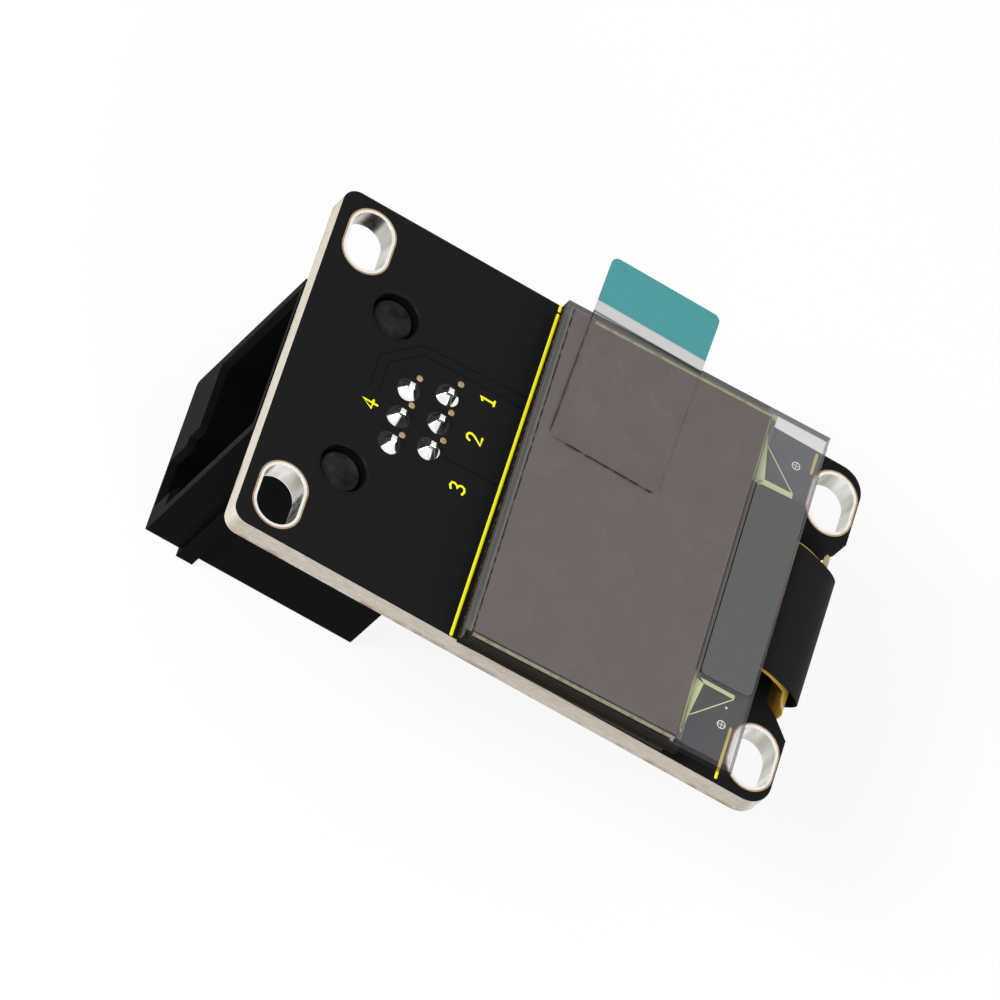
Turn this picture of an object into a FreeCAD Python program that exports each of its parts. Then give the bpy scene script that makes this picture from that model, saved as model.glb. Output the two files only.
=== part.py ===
import FreeCAD, Part
import Sketcher
import os
from FreeCAD import Vector

# Small display module: a black board with a monochrome display on its front, a six-way
# modular jack on its back, and a short flex that folds round the board's end.
# Shared frame, in mm: the board's front face is z = 0 and the display looks along +Z.
# +Y points to the jack's mouth, and the origin is the middle of the four mounting slots.

os.makedirs("parts", exist_ok=True)
doc = FreeCAD.newDocument("display_module")
sheet = doc.addObject("Spreadsheet::Sheet", "dims")

VALUES = [
    ("board_width", 26.6, "board size across, along X"),
    ("board_length", 38.9, "board size along Y"),
    ("board_thick", 1.6, "board thickness"),
    ("corner_mouth", 1.05, "corner radius at the jack's end"),
    ("corner_far", 1.7, "corner radius at the flex's end"),
    ("slot_side", 3.1, "board's side to the middle of a slot"),
    ("slot_mouth", 2.5, "board's edge at the jack to the middle of a slot"),
    ("slot_far", 1.8, "board's edge at the flex to the middle of a slot"),
    ("slot_radius", 1.42, "half width of a mounting slot, inside its plating"),
    ("slot_reach", 0.72, "middle of a slot to the middle of its end arc"),
    ("plate_wall", 0.05, "plating thickness in the slot"),
    ("plate_high", 0.04, "plated ring above the board's face"),
    ("ring_radius", 1.69, "end radius of a plated ring"),
    ("notch_edge", 7.85, "half width of the end notch at the board's edge"),
    ("notch_mid", 6.6, "half width of the end notch at its shoulders"),
    ("notch_floor", 5.9, "half width of the end notch at its floor"),
    ("notch_step", 1.1, "board's edge to the shoulders of the notch"),
    ("notch_deep", 2.0, "board's edge to the floor of the notch"),
    ("notch_round", 0.6, "radius in the floor corners of the notch"),
    ("jack_shift", 0.43, "middle of the jack's body to the middle of the board"),
    ("jack_width", 12.14, "jack body across"),
    ("jack_high", 15.15, "jack body below the board"),
    ("jack_long", 15.16, "jack body front to back"),
    ("jack_proud", 0.08, "jack's front face ahead of the board's edge"),
    ("jack_round", 0.35, "radius of the jack's long outer edges"),
    ("flange_back", 2.48, "front face to the panel stop flange"),
    ("flange_long", 1.2, "flange thickness along Y"),
    ("flange_proud", 0.5, "flange beyond each side"),
    ("mouth_wall", 1.1, "side wall beside the mouth"),
    ("mouth_roof", 0.8, "roof between the board and the mouth"),
    ("mouth_floor", 10.9, "board's back to the floor of the mouth"),
    ("mouth_deep", 12.6, "depth of the mouth"),
    ("mouth_lead", 0.4, "lead-in bevel round the mouth"),
    ("latch_shift", 2.35, "middle of the latch slot beside the middle of the mouth"),
    ("latch_wide", 3.0, "width of the latch slot"),
    ("latch_floor", 14.55, "board's back to the floor of the latch slot"),
    ("shelf_start", 0.13, "middle of the mouth to the near edge of the latch shelf"),
    ("shelf_floor", 12.3, "board's back to the latch shelf"),
    ("catch_back", 2.2, "front face to the room behind the latch shelf"),
    ("catch_long", 7.0, "length of that room"),
    ("peg_pitch", 12.25, "locating pegs, middle to middle"),
    ("peg_back", 5.84, "front face to the middle of the pegs"),
    ("peg_radius", 1.45, "peg radius"),
    ("peg_gap", 0.15, "clearance between a peg and its hole"),
    ("peg_high", 1.15, "peg into the board"),
    ("peg_ease", 0.15, "bevel on the peg's end"),
    ("ear_radius", 2.0, "radius of the ear under each peg"),
    ("ear_thick", 2.2, "thickness of the ears"),
    ("row_front", 8.13, "front face to the first row of contact tails"),
    ("row_pitch", 2.54, "first to second row of tails"),
    ("tail_pitch", 1.07, "one tail to the next, across"),
    ("wire_size", 0.44, "contact wire, square"),
    ("wire_pitch", 1.02, "one contact to the next, across, in the mouth"),
    ("tail_high", 0.8, "tail above the board's front face"),
    ("tail_hole", 0.45, "radius of a tail's hole in the board"),
    ("block_back", 1.6, "front face to the contact block"),
    ("block_floor", 4.1, "board's back to the lower face of the contact block"),
    ("block_gap", 0.05, "clearance round the contact block"),
    ("window_front", 6.4, "front face to the window in the roof"),
    ("window_long", 5.9, "window in the roof along Y"),
    ("window_wide", 7.6, "window in the roof across"),
    ("spring_back", 3.1, "front face to the bend of a contact"),
    ("spring_drop", 2.5, "free end of a contact below the block"),
    ("spring_long", 7.4, "bend to the free end, along Y"),
    ("spring_round", 0.45, "inner bend radius of a contact"),
    ("joint_radius", 0.775, "solder joint at the board"),
    ("joint_high", 0.62, "solder joint height"),
    ("joint_neck", 0.36, "solder joint radius at its top"),
    ("display_x", -0.448, "middle of the display glass"),
    ("glass_in", 3.791, "board's edge at the flex to the glass's edge"),
    ("display_top", 1.94, "top of the glass above the board, at its middle"),
    ("display_slope", 0.0276, "rise of the glass towards the flex's end, per mm"),
    ("display_skew", 0.78, "turn of the display about Z, in degrees"),
    ("glass_width", 26.7, "display glass across"),
    ("glass_length", 19.26, "display glass along Y"),
    ("glass_thick", 0.55, "front glass"),
    ("cover_thick", 0.5, "rear glass"),
    ("ledge_long", 3.61, "ledge: the front glass beyond the rear glass"),
    ("film_inset", 0.42, "polariser in from the glass at the mouth's end"),
    ("film_width", 25.9, "polariser across"),
    ("film_shift", 0.17, "middle of the polariser beside the middle of the glass"),
    ("film_step", 0.68, "edge of the rear glass at the ledge to the polariser"),
    ("film_thick", 0.2, "polariser"),
    ("sheet_inset", 0.12, "protective film in from the polariser's edge"),
    ("sheet_thick", 0.06, "protective film"),
    ("tab_width", 8.0, "pull tab along Y"),
    ("tab_length", 14.8, "pull tab along X"),
    ("tab_start", 3.0, "inner end of the pull tab from the glass's middle"),
    ("tab_middle", 3.8, "middle of the pull tab from the glass's middle, along Y"),
    ("tab_thick", 0.08, "pull tab"),
    ("tab_turned", 0.62, "inner end of the pull tab set over, along Y"),
    ("tab_round", 0.5, "corner radius of the pull tab"),
    ("patch_width", 15.1, "dark patch on the ledge, across"),
    ("patch_shift", 0.05, "middle of the dark patch beside the middle of the glass"),
    ("patch_edge", 0.22, "dark patch to the ledge's edge"),
    ("patch_gap", 0.42, "dark patch to the polariser"),
    ("patch_thick", 0.1, "dark patch"),
    ("patch_round", 0.45, "corner radius of the dark patch"),
    ("chip_width", 10.6, "driver chip across"),
    ("chip_length", 1.0, "driver chip along Y"),
    ("chip_thick", 0.3, "driver chip"),
    ("chip_gap", 0.76, "rear glass to the driver chip"),
    ("foam_margin", 0.5, "mounting tape in from the rear glass"),
    ("foam_gap", 0.01, "mounting tape to the rear glass"),
    ("flex_width", 10.2, "neck of the flex across"),
    ("skin_width", 9.87, "flex black cover across"),
    ("flex_shift", -0.05, "middle of the flex across the board"),
    ("base_thick", 0.08, "flex base film"),
    ("skin_thick", 0.07, "flex black cover"),
    ("skin_gap", 0.02, "flex black cover to the base film on the back"),
    ("bond_long", 1.3, "flex bonded under the ledge"),
    ("bond_gap", 0.02, "bonding film between the ledge and the flex"),
    ("fold_proud", 0.06, "fold of the black cover beyond the board's edge"),
    ("ear_width", 12.4, "ears of the base film at its fold, across"),
    ("ear_in", 1.45, "board's edge to where the ears start"),
    ("ear_round", 0.55, "corner radius of the ears"),
    ("wing_width", 13.6, "flex shoulders across"),
    ("wing_in", 2.6, "board's edge to the shoulders"),
    ("bar_width", 21.6, "soldered bar of the flex across"),
    ("bar_in", 3.9, "board's edge to the soldered bar"),
    ("bar_long", 4.0, "soldered bar along Y"),
    ("pads_long", 1.2, "soldered pads left open by the black cover"),
    ("parts_low", 4.3, "soldered bar to the row of small parts"),
    ("parts_pitch", 2.3, "one small part to the next in the row"),
    ("parts_left", -9.2, "middle of the board to the row's first place"),
    ("parts_side", 7.6, "middle of the board to the parts beside the regulator"),
    ("parts_near", 2.9, "soldered bar to the capacitor before the regulator"),
    ("parts_far", 8.6, "soldered bar to the capacitor behind the regulator"),
    ("parts_lone_x", -8.9, "middle of the board to the single resistor"),
    ("parts_lone_y", 10.0, "soldered bar to the single resistor"),
    ("chip_lead", 0.35, "end cap of a small resistor or capacitor"),
    ("chip_cap", 0.04, "end cap beyond the small part's body"),
    ("cap_long", 1.6, "capacitor end to end"),
    ("cap_wide", 0.8, "capacitor across"),
    ("cap_high", 0.75, "capacitor height"),
    ("res_high", 0.45, "resistor height"),
    ("reg_long", 2.9, "regulator body along X"),
    ("reg_wide", 1.5, "regulator body along Y"),
    ("reg_high", 1.05, "regulator body height"),
    ("reg_stand", 0.08, "regulator body off the board"),
    ("reg_in", 5.6, "soldered bar to the middle of the regulator"),
    ("lead_wide", 0.42, "regulator lead across"),
    ("lead_thick", 0.14, "regulator lead thickness"),
    ("lead_pitch", 0.95, "one regulator lead to the next"),
    ("lead_reach", 1.42, "middle of the regulator to a lead's toe"),
]
for row, (name, value, words) in enumerate(VALUES, start=1):
    sheet.set(f"A{row}", words)
    sheet.set(f"B{row}", str(value))
    sheet.setAlias(f"B{row}", name)
doc.recompute()


class Size:
    """A number together with the sheet expression that yields it."""

    def __init__(self, value, text):
        self.value = float(value)
        self.text = text

    def _join(self, other, sign, turned=False):
        other = other if isinstance(other, Size) else Size(other, repr(float(other)))
        left, right = (other, self) if turned else (self, other)
        a, b = left.value, right.value
        value = {"+": a + b, "-": a - b, "*": a * b, "/": a / b if b else 0.0}[sign]
        return Size(value, f"({left.text} {sign} {right.text})")

    def __add__(self, other):
        return self._join(other, "+")

    def __radd__(self, other):
        return self._join(other, "+", True)

    def __sub__(self, other):
        return self._join(other, "-")

    def __rsub__(self, other):
        return self._join(other, "-", True)

    def __mul__(self, other):
        return self._join(other, "*")

    def __rmul__(self, other):
        return self._join(other, "*", True)

    def __truediv__(self, other):
        return self._join(other, "/")

    def __neg__(self):
        return self._join(-1, "*")


class Dims:
    """The sheet's values by name."""

    def __init__(self):
        for name, value, _ in VALUES:
            setattr(self, name, Size(value, f"dims.{name}"))


d = Dims()
ZERO = Size(0, "0")


def body(name):
    return doc.addObject("PartDesign::Body", name)


def plane(owner, role):
    return next(f for f in owner.Origin.OriginFeatures if f.Role == role)


def sketch(owner, role, name, offset=None):
    """A sketch on one of the body's own origin planes."""
    made = owner.newObject("Sketcher::SketchObject", name)
    made.AttachmentSupport = [(plane(owner, role), "")]
    made.MapMode = "FlatFace"
    if offset is not None:
        made.AttachmentOffset = FreeCAD.Placement(Vector(0, 0, offset.value), FreeCAD.Rotation())
        made.setExpression("AttachmentOffset.Base.z", offset.text)
    return made


def bound(sk, kind, places, size, name):
    sk.addConstraint(Sketcher.Constraint(kind, *places, size.value))
    index = sk.ConstraintCount - 1
    sk.renameConstraint(index, name)
    sk.setExpression(f"Constraints.{name}", size.text)


def fix_point(sk, geo, point, x, y):
    bound(sk, "DistanceX", (-1, 1, geo, point), x, f"x{sk.ConstraintCount}")
    bound(sk, "DistanceY", (-1, 1, geo, point), y, f"y{sk.ConstraintCount}")


def polygon(sk, points):
    """Closed outline; every corner is tied to the sheet."""
    start = sk.GeometryCount
    count = len(points)
    for i in range(count):
        a, b = points[i], points[(i + 1) % count]
        sk.addGeometry(Part.LineSegment(Vector(a[0].value, a[1].value, 0),
                                        Vector(b[0].value, b[1].value, 0)), False)
    for i in range(count):
        after = start + (i + 1) % count
        sk.addConstraint(Sketcher.Constraint("Coincident", start + i, 2, after, 1))
    for i in range(count):
        fix_point(sk, start + i, 1, *points[i])


def box(sk, x0, x1, y0, y1):
    polygon(sk, [(x0, y0), (x1, y0), (x1, y1), (x0, y1)])


def circle(sk, x, y, radius):
    geo = sk.addGeometry(Part.Circle(Vector(x.value, y.value, 0), Vector(0, 0, 1), radius.value), False)
    fix_point(sk, geo, 3, x, y)
    bound(sk, "Radius", (geo,), radius, f"r{sk.ConstraintCount}")


def stadium(sk, x, y, reach, radius):
    """Slot outline that runs along X."""
    left, right = x.value - reach.value, x.value + reach.value
    r, cy = radius.value, y.value
    up, half = Vector(0, 0, 1), 1.5707963267948966
    first = sk.addGeometry([
        Part.LineSegment(Vector(left, cy - r, 0), Vector(right, cy - r, 0)),
        Part.ArcOfCircle(Part.Circle(Vector(right, cy, 0), up, r), -half, half),
        Part.LineSegment(Vector(right, cy + r, 0), Vector(left, cy + r, 0)),
        Part.ArcOfCircle(Part.Circle(Vector(left, cy, 0), up, r), half, 3 * half),
    ], False)[0]
    ends = [(0, 2, 1, 1), (1, 2, 2, 1), (2, 2, 3, 1), (3, 2, 0, 1)]
    for a, pa, b, pb in ends:
        sk.addConstraint(Sketcher.Constraint("Tangent", first + a, pa, first + b, pb))
    fix_point(sk, first + 1, 3, x + reach, y)
    fix_point(sk, first + 3, 3, x - reach, y)
    bound(sk, "Radius", (first + 1,), radius, f"r{sk.ConstraintCount}")


def grow(owner, sk, length, name, reverse=False, both=False):
    made = owner.newObject("PartDesign::Pad", name)
    made.Profile = sk
    made.Length = length.value
    made.setExpression("Length", length.text)
    made.Reversed = reverse
    made.Midplane = both
    doc.recompute()
    return made


def cut(owner, sk, length, name, reverse=False, both=False):
    """A pocket that is sure to remove material."""
    before = owner.Shape.Volume
    made = owner.newObject("PartDesign::Pocket", name)
    made.Profile = sk
    made.Length = length.value
    made.setExpression("Length", length.text)
    made.Reversed = reverse
    made.Midplane = both
    doc.recompute()
    if before - owner.Shape.Volume < 1e-4:
        raise RuntimeError(f"{name} removed nothing")
    return made


def dress(owner, kind, name, size, test):
    """Fillet or chamfer on the edges whose middle passes the test."""
    shape = owner.Tip.Shape
    names = []
    for number, edge in enumerate(shape.Edges, start=1):
        middle = edge.valueAt((edge.FirstParameter + edge.LastParameter) / 2)
        if test(middle, edge):
            names.append(f"Edge{number}")
    if not names:
        raise RuntimeError(f"{name} found no edges")
    made = owner.newObject(f"PartDesign::{kind}", name)
    made.Base = (owner.Tip if owner.Tip is not made else made.BaseFeature, names)
    key = "Radius" if kind == "Fillet" else "Size"
    setattr(made, key, size.value)
    made.setExpression(key, size.text)
    doc.recompute()
    return made


def near(a, b, gap=0.02):
    return abs(a - b) < gap


def upright(edge):
    return edge.Curve.TypeId == "Part::GeomLine" and abs(edge.tangentAt(edge.FirstParameter).z) > 0.99


# The board: front face at z = 0. The end notch lets the flex pass to the back.
half_board = d.board_width / 2
slot_x = half_board - d.slot_side
slot_y = (d.board_length - d.slot_mouth - d.slot_far) / 2
mouth_edge = slot_y + d.slot_mouth
far_edge = -slot_y - d.slot_far
front = mouth_edge + d.jack_proud

board = body("pcb_board")
sk = sketch(board, "XY_Plane", "board_outline")
polygon(sk, [
    (-half_board, mouth_edge), (-half_board, far_edge),
    (-d.notch_edge, far_edge), (-d.notch_mid, far_edge + d.notch_step),
    (-d.notch_floor, far_edge + d.notch_deep), (d.notch_floor, far_edge + d.notch_deep),
    (d.notch_mid, far_edge + d.notch_step), (d.notch_edge, far_edge),
    (half_board, far_edge), (half_board, mouth_edge),
])
grow(board, sk, d.board_thick, "board_slab", reverse=True)
dress(board, "Fillet", "mouth_corners", d.corner_mouth,
      lambda m, e: upright(e) and near(abs(m.x), half_board.value) and near(m.y, mouth_edge.value))
dress(board, "Fillet", "far_corners", d.corner_far,
      lambda m, e: upright(e) and near(abs(m.x), half_board.value) and near(m.y, far_edge.value))
dress(board, "Fillet", "notch_corners", d.notch_round,
      lambda m, e: upright(e) and near(abs(m.x), d.notch_floor.value)
      and near(m.y, (far_edge + d.notch_deep).value))

sk = sketch(board, "XY_Plane", "slot_outline")
for sx in (-1, 1):
    for sy in (-1, 1):
        stadium(sk, slot_x * sx, slot_y * sy, d.slot_reach, d.slot_radius + d.plate_wall)
cut(board, sk, d.board_thick, "mounting_slots")

peg_y = front - d.peg_back
row_y = [front - d.row_front, front - d.row_front - d.row_pitch]
tails = [((i - 2.5) * d.tail_pitch, row_y[i % 2]) for i in range(6)]
sk = sketch(board, "XY_Plane", "jack_holes_outline")
for sx in (-1, 1):
    circle(sk, d.peg_pitch / 2 * sx, peg_y, d.peg_radius + d.peg_gap)
for tail_x, tail_y in tails:
    circle(sk, tail_x, tail_y, d.tail_hole)
cut(board, sk, d.board_thick, "jack_holes")

# Plated slots: a thin barrel through each slot with a ring on both faces.
for number, (sx, sy) in enumerate([(1, 1), (-1, 1), (-1, -1), (1, -1)], start=1):
    plating = body(f"slot_plating_{number}")
    x, y = slot_x * sx, slot_y * sy
    sk = sketch(plating, "XY_Plane", f"barrel_outline_{number}", d.plate_high)
    stadium(sk, x, y, d.slot_reach, d.slot_radius + d.plate_wall)
    stadium(sk, x, y, d.slot_reach, d.slot_radius)
    grow(plating, sk, d.board_thick + 2 * d.plate_high, f"barrel_{number}", reverse=True)
    for side, offset in (("front", ZERO + 0), ("back", -d.board_thick - d.plate_high)):
        sk = sketch(plating, "XY_Plane", f"ring_{side}_{number}", offset)
        stadium(sk, x, y, d.slot_reach, d.ring_radius)
        stadium(sk, x, y, d.slot_reach, d.slot_radius)
        grow(plating, sk, d.plate_high, f"ring_pad_{side}_{number}")

# Jack housing: a block under the board with its mouth towards +Y. The latch slot is
# beside the mouth's middle, a flange stops it at a panel and two pegs locate it.
back = -d.board_thick
left = d.jack_shift - d.jack_width / 2
right = d.jack_shift + d.jack_width / 2
rear = front - d.jack_long

jack = body("jack_housing")
sk = sketch(jack, "XY_Plane", "jack_outline", back)
box(sk, left, right, rear, front)
grow(jack, sk, d.jack_high, "jack_block", reverse=True)
sk = sketch(jack, "XY_Plane", "flange_outline", back)
box(sk, left - d.flange_proud, right + d.flange_proud,
    front - d.flange_back - d.flange_long, front - d.flange_back)
grow(jack, sk, d.jack_high, "flange", reverse=True)
for side, sx in (("left", -1), ("right", 1)):
    sk = sketch(jack, "XY_Plane", f"ear_outline_{side}", back)
    circle(sk, d.peg_pitch / 2 * sx, peg_y, d.ear_radius)
    grow(jack, sk, d.ear_thick, f"ear_{side}", reverse=True)
    sk = sketch(jack, "XY_Plane", f"peg_outline_{side}", back)
    circle(sk, d.peg_pitch / 2 * sx, peg_y, d.peg_radius)
    grow(jack, sk, d.peg_high, f"peg_{side}")
dress(jack, "Chamfer", "peg_ends", d.peg_ease,
      lambda m, e: near(m.z, (back + d.peg_high).value))

mouth_left = left + d.mouth_wall
mouth_right = right - d.mouth_wall
mouth_top = back - d.mouth_roof
mouth_low = back - d.mouth_floor
sk = sketch(jack, "XZ_Plane", "mouth_outline", -front)
box(sk, mouth_left, mouth_right, mouth_low, mouth_top)
cut(jack, sk, d.mouth_deep, "mouth", reverse=True)
shelf_right = d.jack_shift - d.shelf_start
sk = sketch(jack, "XZ_Plane", "shelf_outline", -front)
box(sk, mouth_left, shelf_right, back - d.shelf_floor, mouth_low + d.mouth_lead)
cut(jack, sk, d.mouth_deep, "latch_shelf", reverse=True)
latch_x = d.jack_shift - d.latch_shift
sk = sketch(jack, "XZ_Plane", "latch_outline", -front)
box(sk, latch_x - d.latch_wide / 2, latch_x + d.latch_wide / 2,
    back - d.latch_floor, back - d.shelf_floor + d.mouth_lead)
cut(jack, sk, d.mouth_deep, "latch_slot", reverse=True)
sk = sketch(jack, "XZ_Plane", "catch_outline", d.catch_back - front)
box(sk, mouth_left, shelf_right, back - d.latch_floor, back - d.shelf_floor + d.mouth_lead)
cut(jack, sk, d.catch_long, "latch_room", reverse=True)

inside = (left.value + 0.3, right.value - 0.3)
dress(jack, "Chamfer", "lead_in", d.mouth_lead,
      lambda m, e: near(m.y, front.value) and inside[0] < m.x < inside[1]
      and (back - d.jack_high + 0.3).value < m.z < mouth_top.value + 0.02)
dress(jack, "Fillet", "jack_edges", d.jack_round,
      lambda m, e: abs(e.tangentAt(e.FirstParameter).y) > 0.99 and near(m.z, (back - d.jack_high).value)
      and near(abs(m.x - d.jack_shift.value), d.jack_width.value / 2))

# The roof is open over the contact block's tails.
window_y = front - d.window_front
sk = sketch(jack, "XY_Plane", "window_outline", back)
box(sk, d.jack_shift / 2 - d.window_wide / 2, d.jack_shift / 2 + d.window_wide / 2,
    window_y - d.window_long, window_y)
cut(jack, sk, d.mouth_roof, "roof_window")

# Contact block: fills the mouth's upper part, holds six wires in grooves, and stands up
# through the roof window to the board.
block = body("contact_block")
block_top = mouth_top - d.block_gap
block_low = back - d.block_floor
block_front = front - d.block_back
block_rear = front - d.mouth_deep + d.block_gap
sk = sketch(block, "XY_Plane", "block_outline", block_top)
box(sk, mouth_left + d.block_gap, mouth_right - d.block_gap, block_rear, block_front)
grow(block, sk, block_top - block_low, "block_slab", reverse=True)
sk = sketch(block, "XY_Plane", "riser_outline", block_top)
box(sk, d.jack_shift / 2 - d.window_wide / 2 + d.block_gap,
    d.jack_shift / 2 + d.window_wide / 2 - d.block_gap,
    window_y - d.window_long + d.block_gap, window_y - d.block_gap)
grow(block, sk, back - block_top, "riser")

half_wire = d.wire_size / 2
groove = d.wire_size + 2 * d.block_gap
wires = [(d.jack_shift + (i - 2.5) * d.wire_pitch) for i in range(6)]
for i in range(6):
    tail_x, tail_y = tails[i]
    wire_x = wires[i]
    sk = sketch(block, "XY_Plane", f"groove_outline_{i + 1}", block_low)
    box(sk, wire_x - groove / 2, wire_x + groove / 2, tail_y - groove / 2, block_front)
    cut(block, sk, groove, f"groove_{i + 1}", reverse=True)
    low_x, high_x = (tail_x, wire_x) if tail_x.value < wire_x.value else (wire_x, tail_x)
    sk = sketch(block, "XY_Plane", f"well_outline_{i + 1}", back)
    box(sk, low_x - groove / 2, high_x + groove / 2, tail_y - groove / 2, tail_y + groove / 2)
    cut(block, sk, back - block_low, f"well_{i + 1}")

# Contacts: a square wire from a tail above the board, down through the block, forward in
# its groove, round the front and back into the mouth as a spring.
run_z = block_low + d.block_gap + half_wire
turn = d.spring_round + half_wire
for i in range(6):
    tail_x, tail_y = tails[i]
    wire_x = wires[i]
    number = i + 1
    contact = body(f"jack_contact_{number}")
    # Tail: straight through the board, then a small jog across to the contact's own pitch.
    sk = sketch(contact, "XZ_Plane", f"tail_outline_{number}", -tail_y)
    jog_top = back - 0.6 * d.mouth_roof
    jog_low = jog_top - d.tail_pitch
    polygon(sk, [
        (tail_x - half_wire, d.tail_high), (tail_x - half_wire, jog_top),
        (wire_x - half_wire, jog_low), (wire_x - half_wire, run_z - half_wire),
        (wire_x + half_wire, run_z - half_wire), (wire_x + half_wire, jog_low),
        (tail_x + half_wire, jog_top), (tail_x + half_wire, d.tail_high),
    ])
    grow(contact, sk, d.wire_size, f"tail_{number}", both=True)
    # Run and spring: one outline in the YZ plane, as wide as the wire.
    sk = sketch(contact, "YZ_Plane", f"spring_outline_{number}", wire_x)
    bend_y = front - d.spring_back
    tip_y = bend_y - d.spring_long
    tip_z = block_low - d.spring_drop
    top_z = run_z + half_wire
    low_z = run_z - half_wire
    polygon(sk, [
        (tail_y - half_wire, top_z), (bend_y, top_z), (bend_y + turn, top_z - 0.35 * turn),
        (bend_y + turn * 1.2, top_z - turn), (bend_y + turn * 0.9, top_z - turn * 1.75),
        (bend_y, top_z - turn * 2.15), (tip_y, tip_z),
        (tip_y + 0.4 * d.wire_size, tip_z + 0.95 * d.wire_size),
        (bend_y - 0.1 * turn, top_z - turn * 2.15 + d.wire_size),
        (bend_y + turn * 0.4, top_z - turn * 1.25), (bend_y + turn * 0.5, top_z - turn * 1.05),
        (bend_y, low_z), (tail_y - half_wire, low_z),
    ])
    grow(contact, sk, d.wire_size, f"spring_{number}", both=True)
    dress(contact, "Chamfer", f"tail_point_{number}", d.wire_size / 4,
          lambda m, e: near(m.z, d.tail_high.value))

# Solder joints: a small cone of solder round each tail on the board's front.
for i in range(6):
    tail_x, tail_y = tails[i]
    number = i + 1
    joint = body(f"solder_joint_{number}")
    joint.Placement = FreeCAD.Placement(Vector(tail_x.value, tail_y.value, 0), FreeCAD.Rotation())
    joint.setExpression("Placement.Base.x", tail_x.text)
    joint.setExpression("Placement.Base.y", tail_y.text)
    sk = sketch(joint, "XZ_Plane", f"joint_outline_{number}")
    polygon(sk, [
        (ZERO + 0, ZERO + 0), (d.joint_radius, ZERO + 0), (d.joint_radius * 0.98, d.joint_high * 0.09),
        (d.joint_radius * 0.74, d.joint_high * 0.36), (d.joint_radius * 0.58, d.joint_high * 0.68),
        (d.joint_neck, d.joint_high), (ZERO + 0, d.joint_high),
    ])
    cone = joint.newObject("PartDesign::Revolution", f"joint_cone_{number}")
    cone.Profile = sk
    cone.ReferenceAxis = (sk, ["V_Axis"])
    cone.Angle = 360
    doc.recompute()
    sk = sketch(joint, "XY_Plane", f"joint_hole_{number}")
    box(sk, -half_wire, half_wire, -half_wire, half_wire)
    cut(joint, sk, d.joint_high, f"joint_bore_{number}", reverse=True)

# Display stack, in its own frame: origin at the middle of the front glass's top face.
# The glass rises slightly towards the flex and is turned a little on the board.
half_glass = d.glass_length / 2
display_y = far_edge + d.glass_in + half_glass
DISPLAY = (f"placement(vector(dims.display_x; {display_y.text}; dims.display_top); "
           "rotation(dims.display_skew * 1deg; 0deg; -atan(dims.display_slope)))")


def layer(name, x0, x1, y0, y1, z0, thick, corners=None, size=None, points=None):
    made = body(name)
    outline = sketch(made, "XY_Plane", f"{name}_outline", z0)
    polygon(outline, points or [(x0, y0), (x1, y0), (x1, y1), (x0, y1)])
    grow(made, outline, thick, f"{name}_slab")
    if corners:
        dress(made, "Fillet", f"{name}_corners", size, lambda m, e: upright(e) and corners(m))
    made.setExpression("Placement", DISPLAY)
    return made


layer("display_glass", -d.glass_width / 2, d.glass_width / 2, -half_glass, half_glass,
      -d.glass_thick, d.glass_thick)
ledge_y = -half_glass + d.ledge_long
layer("rear_glass", -d.glass_width / 2, d.glass_width / 2, ledge_y, half_glass,
      -d.glass_thick - d.cover_thick, d.cover_thick)
film_top = half_glass - d.film_inset
film_left = -d.film_width / 2 - d.film_shift
film_right = d.film_width / 2 - d.film_shift
film_low = ledge_y + d.film_step
layer("polariser", film_left, film_right, film_low, film_top, ZERO + 0, d.film_thick)
layer("protective_film", film_left + d.sheet_inset, film_right - d.sheet_inset,
      film_low + d.sheet_inset, film_top - d.sheet_inset, d.film_thick + 0, d.sheet_thick)
tab_low, tab_high = d.tab_middle - d.tab_width / 2, d.tab_middle + d.tab_width / 2
tab_end = d.tab_start + d.tab_length
tab_skew = d.tab_turned * d.tab_width / d.tab_length
layer("pull_tab", d.tab_start, tab_end, tab_low, tab_high, d.film_thick + d.sheet_thick, d.tab_thick,
      lambda m: True, d.tab_round,
      [(d.tab_start - tab_skew, tab_low + d.tab_turned), (tab_end - tab_skew, tab_low),
       (tab_end, tab_high), (d.tab_start, tab_high + d.tab_turned)])
layer("ledge_patch", -d.patch_width / 2 - d.patch_shift, d.patch_width / 2 - d.patch_shift,
      -half_glass + d.patch_edge, film_low - d.patch_gap, ZERO + 0, d.patch_thick,
      lambda m: True, d.patch_round)
layer("driver_chip", -d.chip_width / 2, d.chip_width / 2,
      ledge_y - d.chip_gap - d.chip_length, ledge_y - d.chip_gap,
      -d.glass_thick - d.chip_thick, d.chip_thick)

# Mounting tape: a wedge between the board and the rear glass, turned like the display.
foam = body("mounting_tape")
sk = sketch(foam, "YZ_Plane", "tape_outline")
under = d.display_top - d.glass_thick - d.cover_thick - d.foam_gap
foam_high = half_glass - d.foam_margin
foam_low = ledge_y + d.foam_margin
polygon(sk, [
    (foam_low, ZERO + 0), (foam_high, ZERO + 0),
    (foam_high, under - foam_high * d.display_slope), (foam_low, under - foam_low * d.display_slope),
])
grow(foam, sk, d.glass_width - 2 * d.foam_margin, "tape_wedge", both=True)
foam.setExpression("Placement", f"placement(vector(dims.display_x; {display_y.text}; 0); "
                   "rotation(dims.display_skew * 1deg; 0deg; 0deg))")

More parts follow.
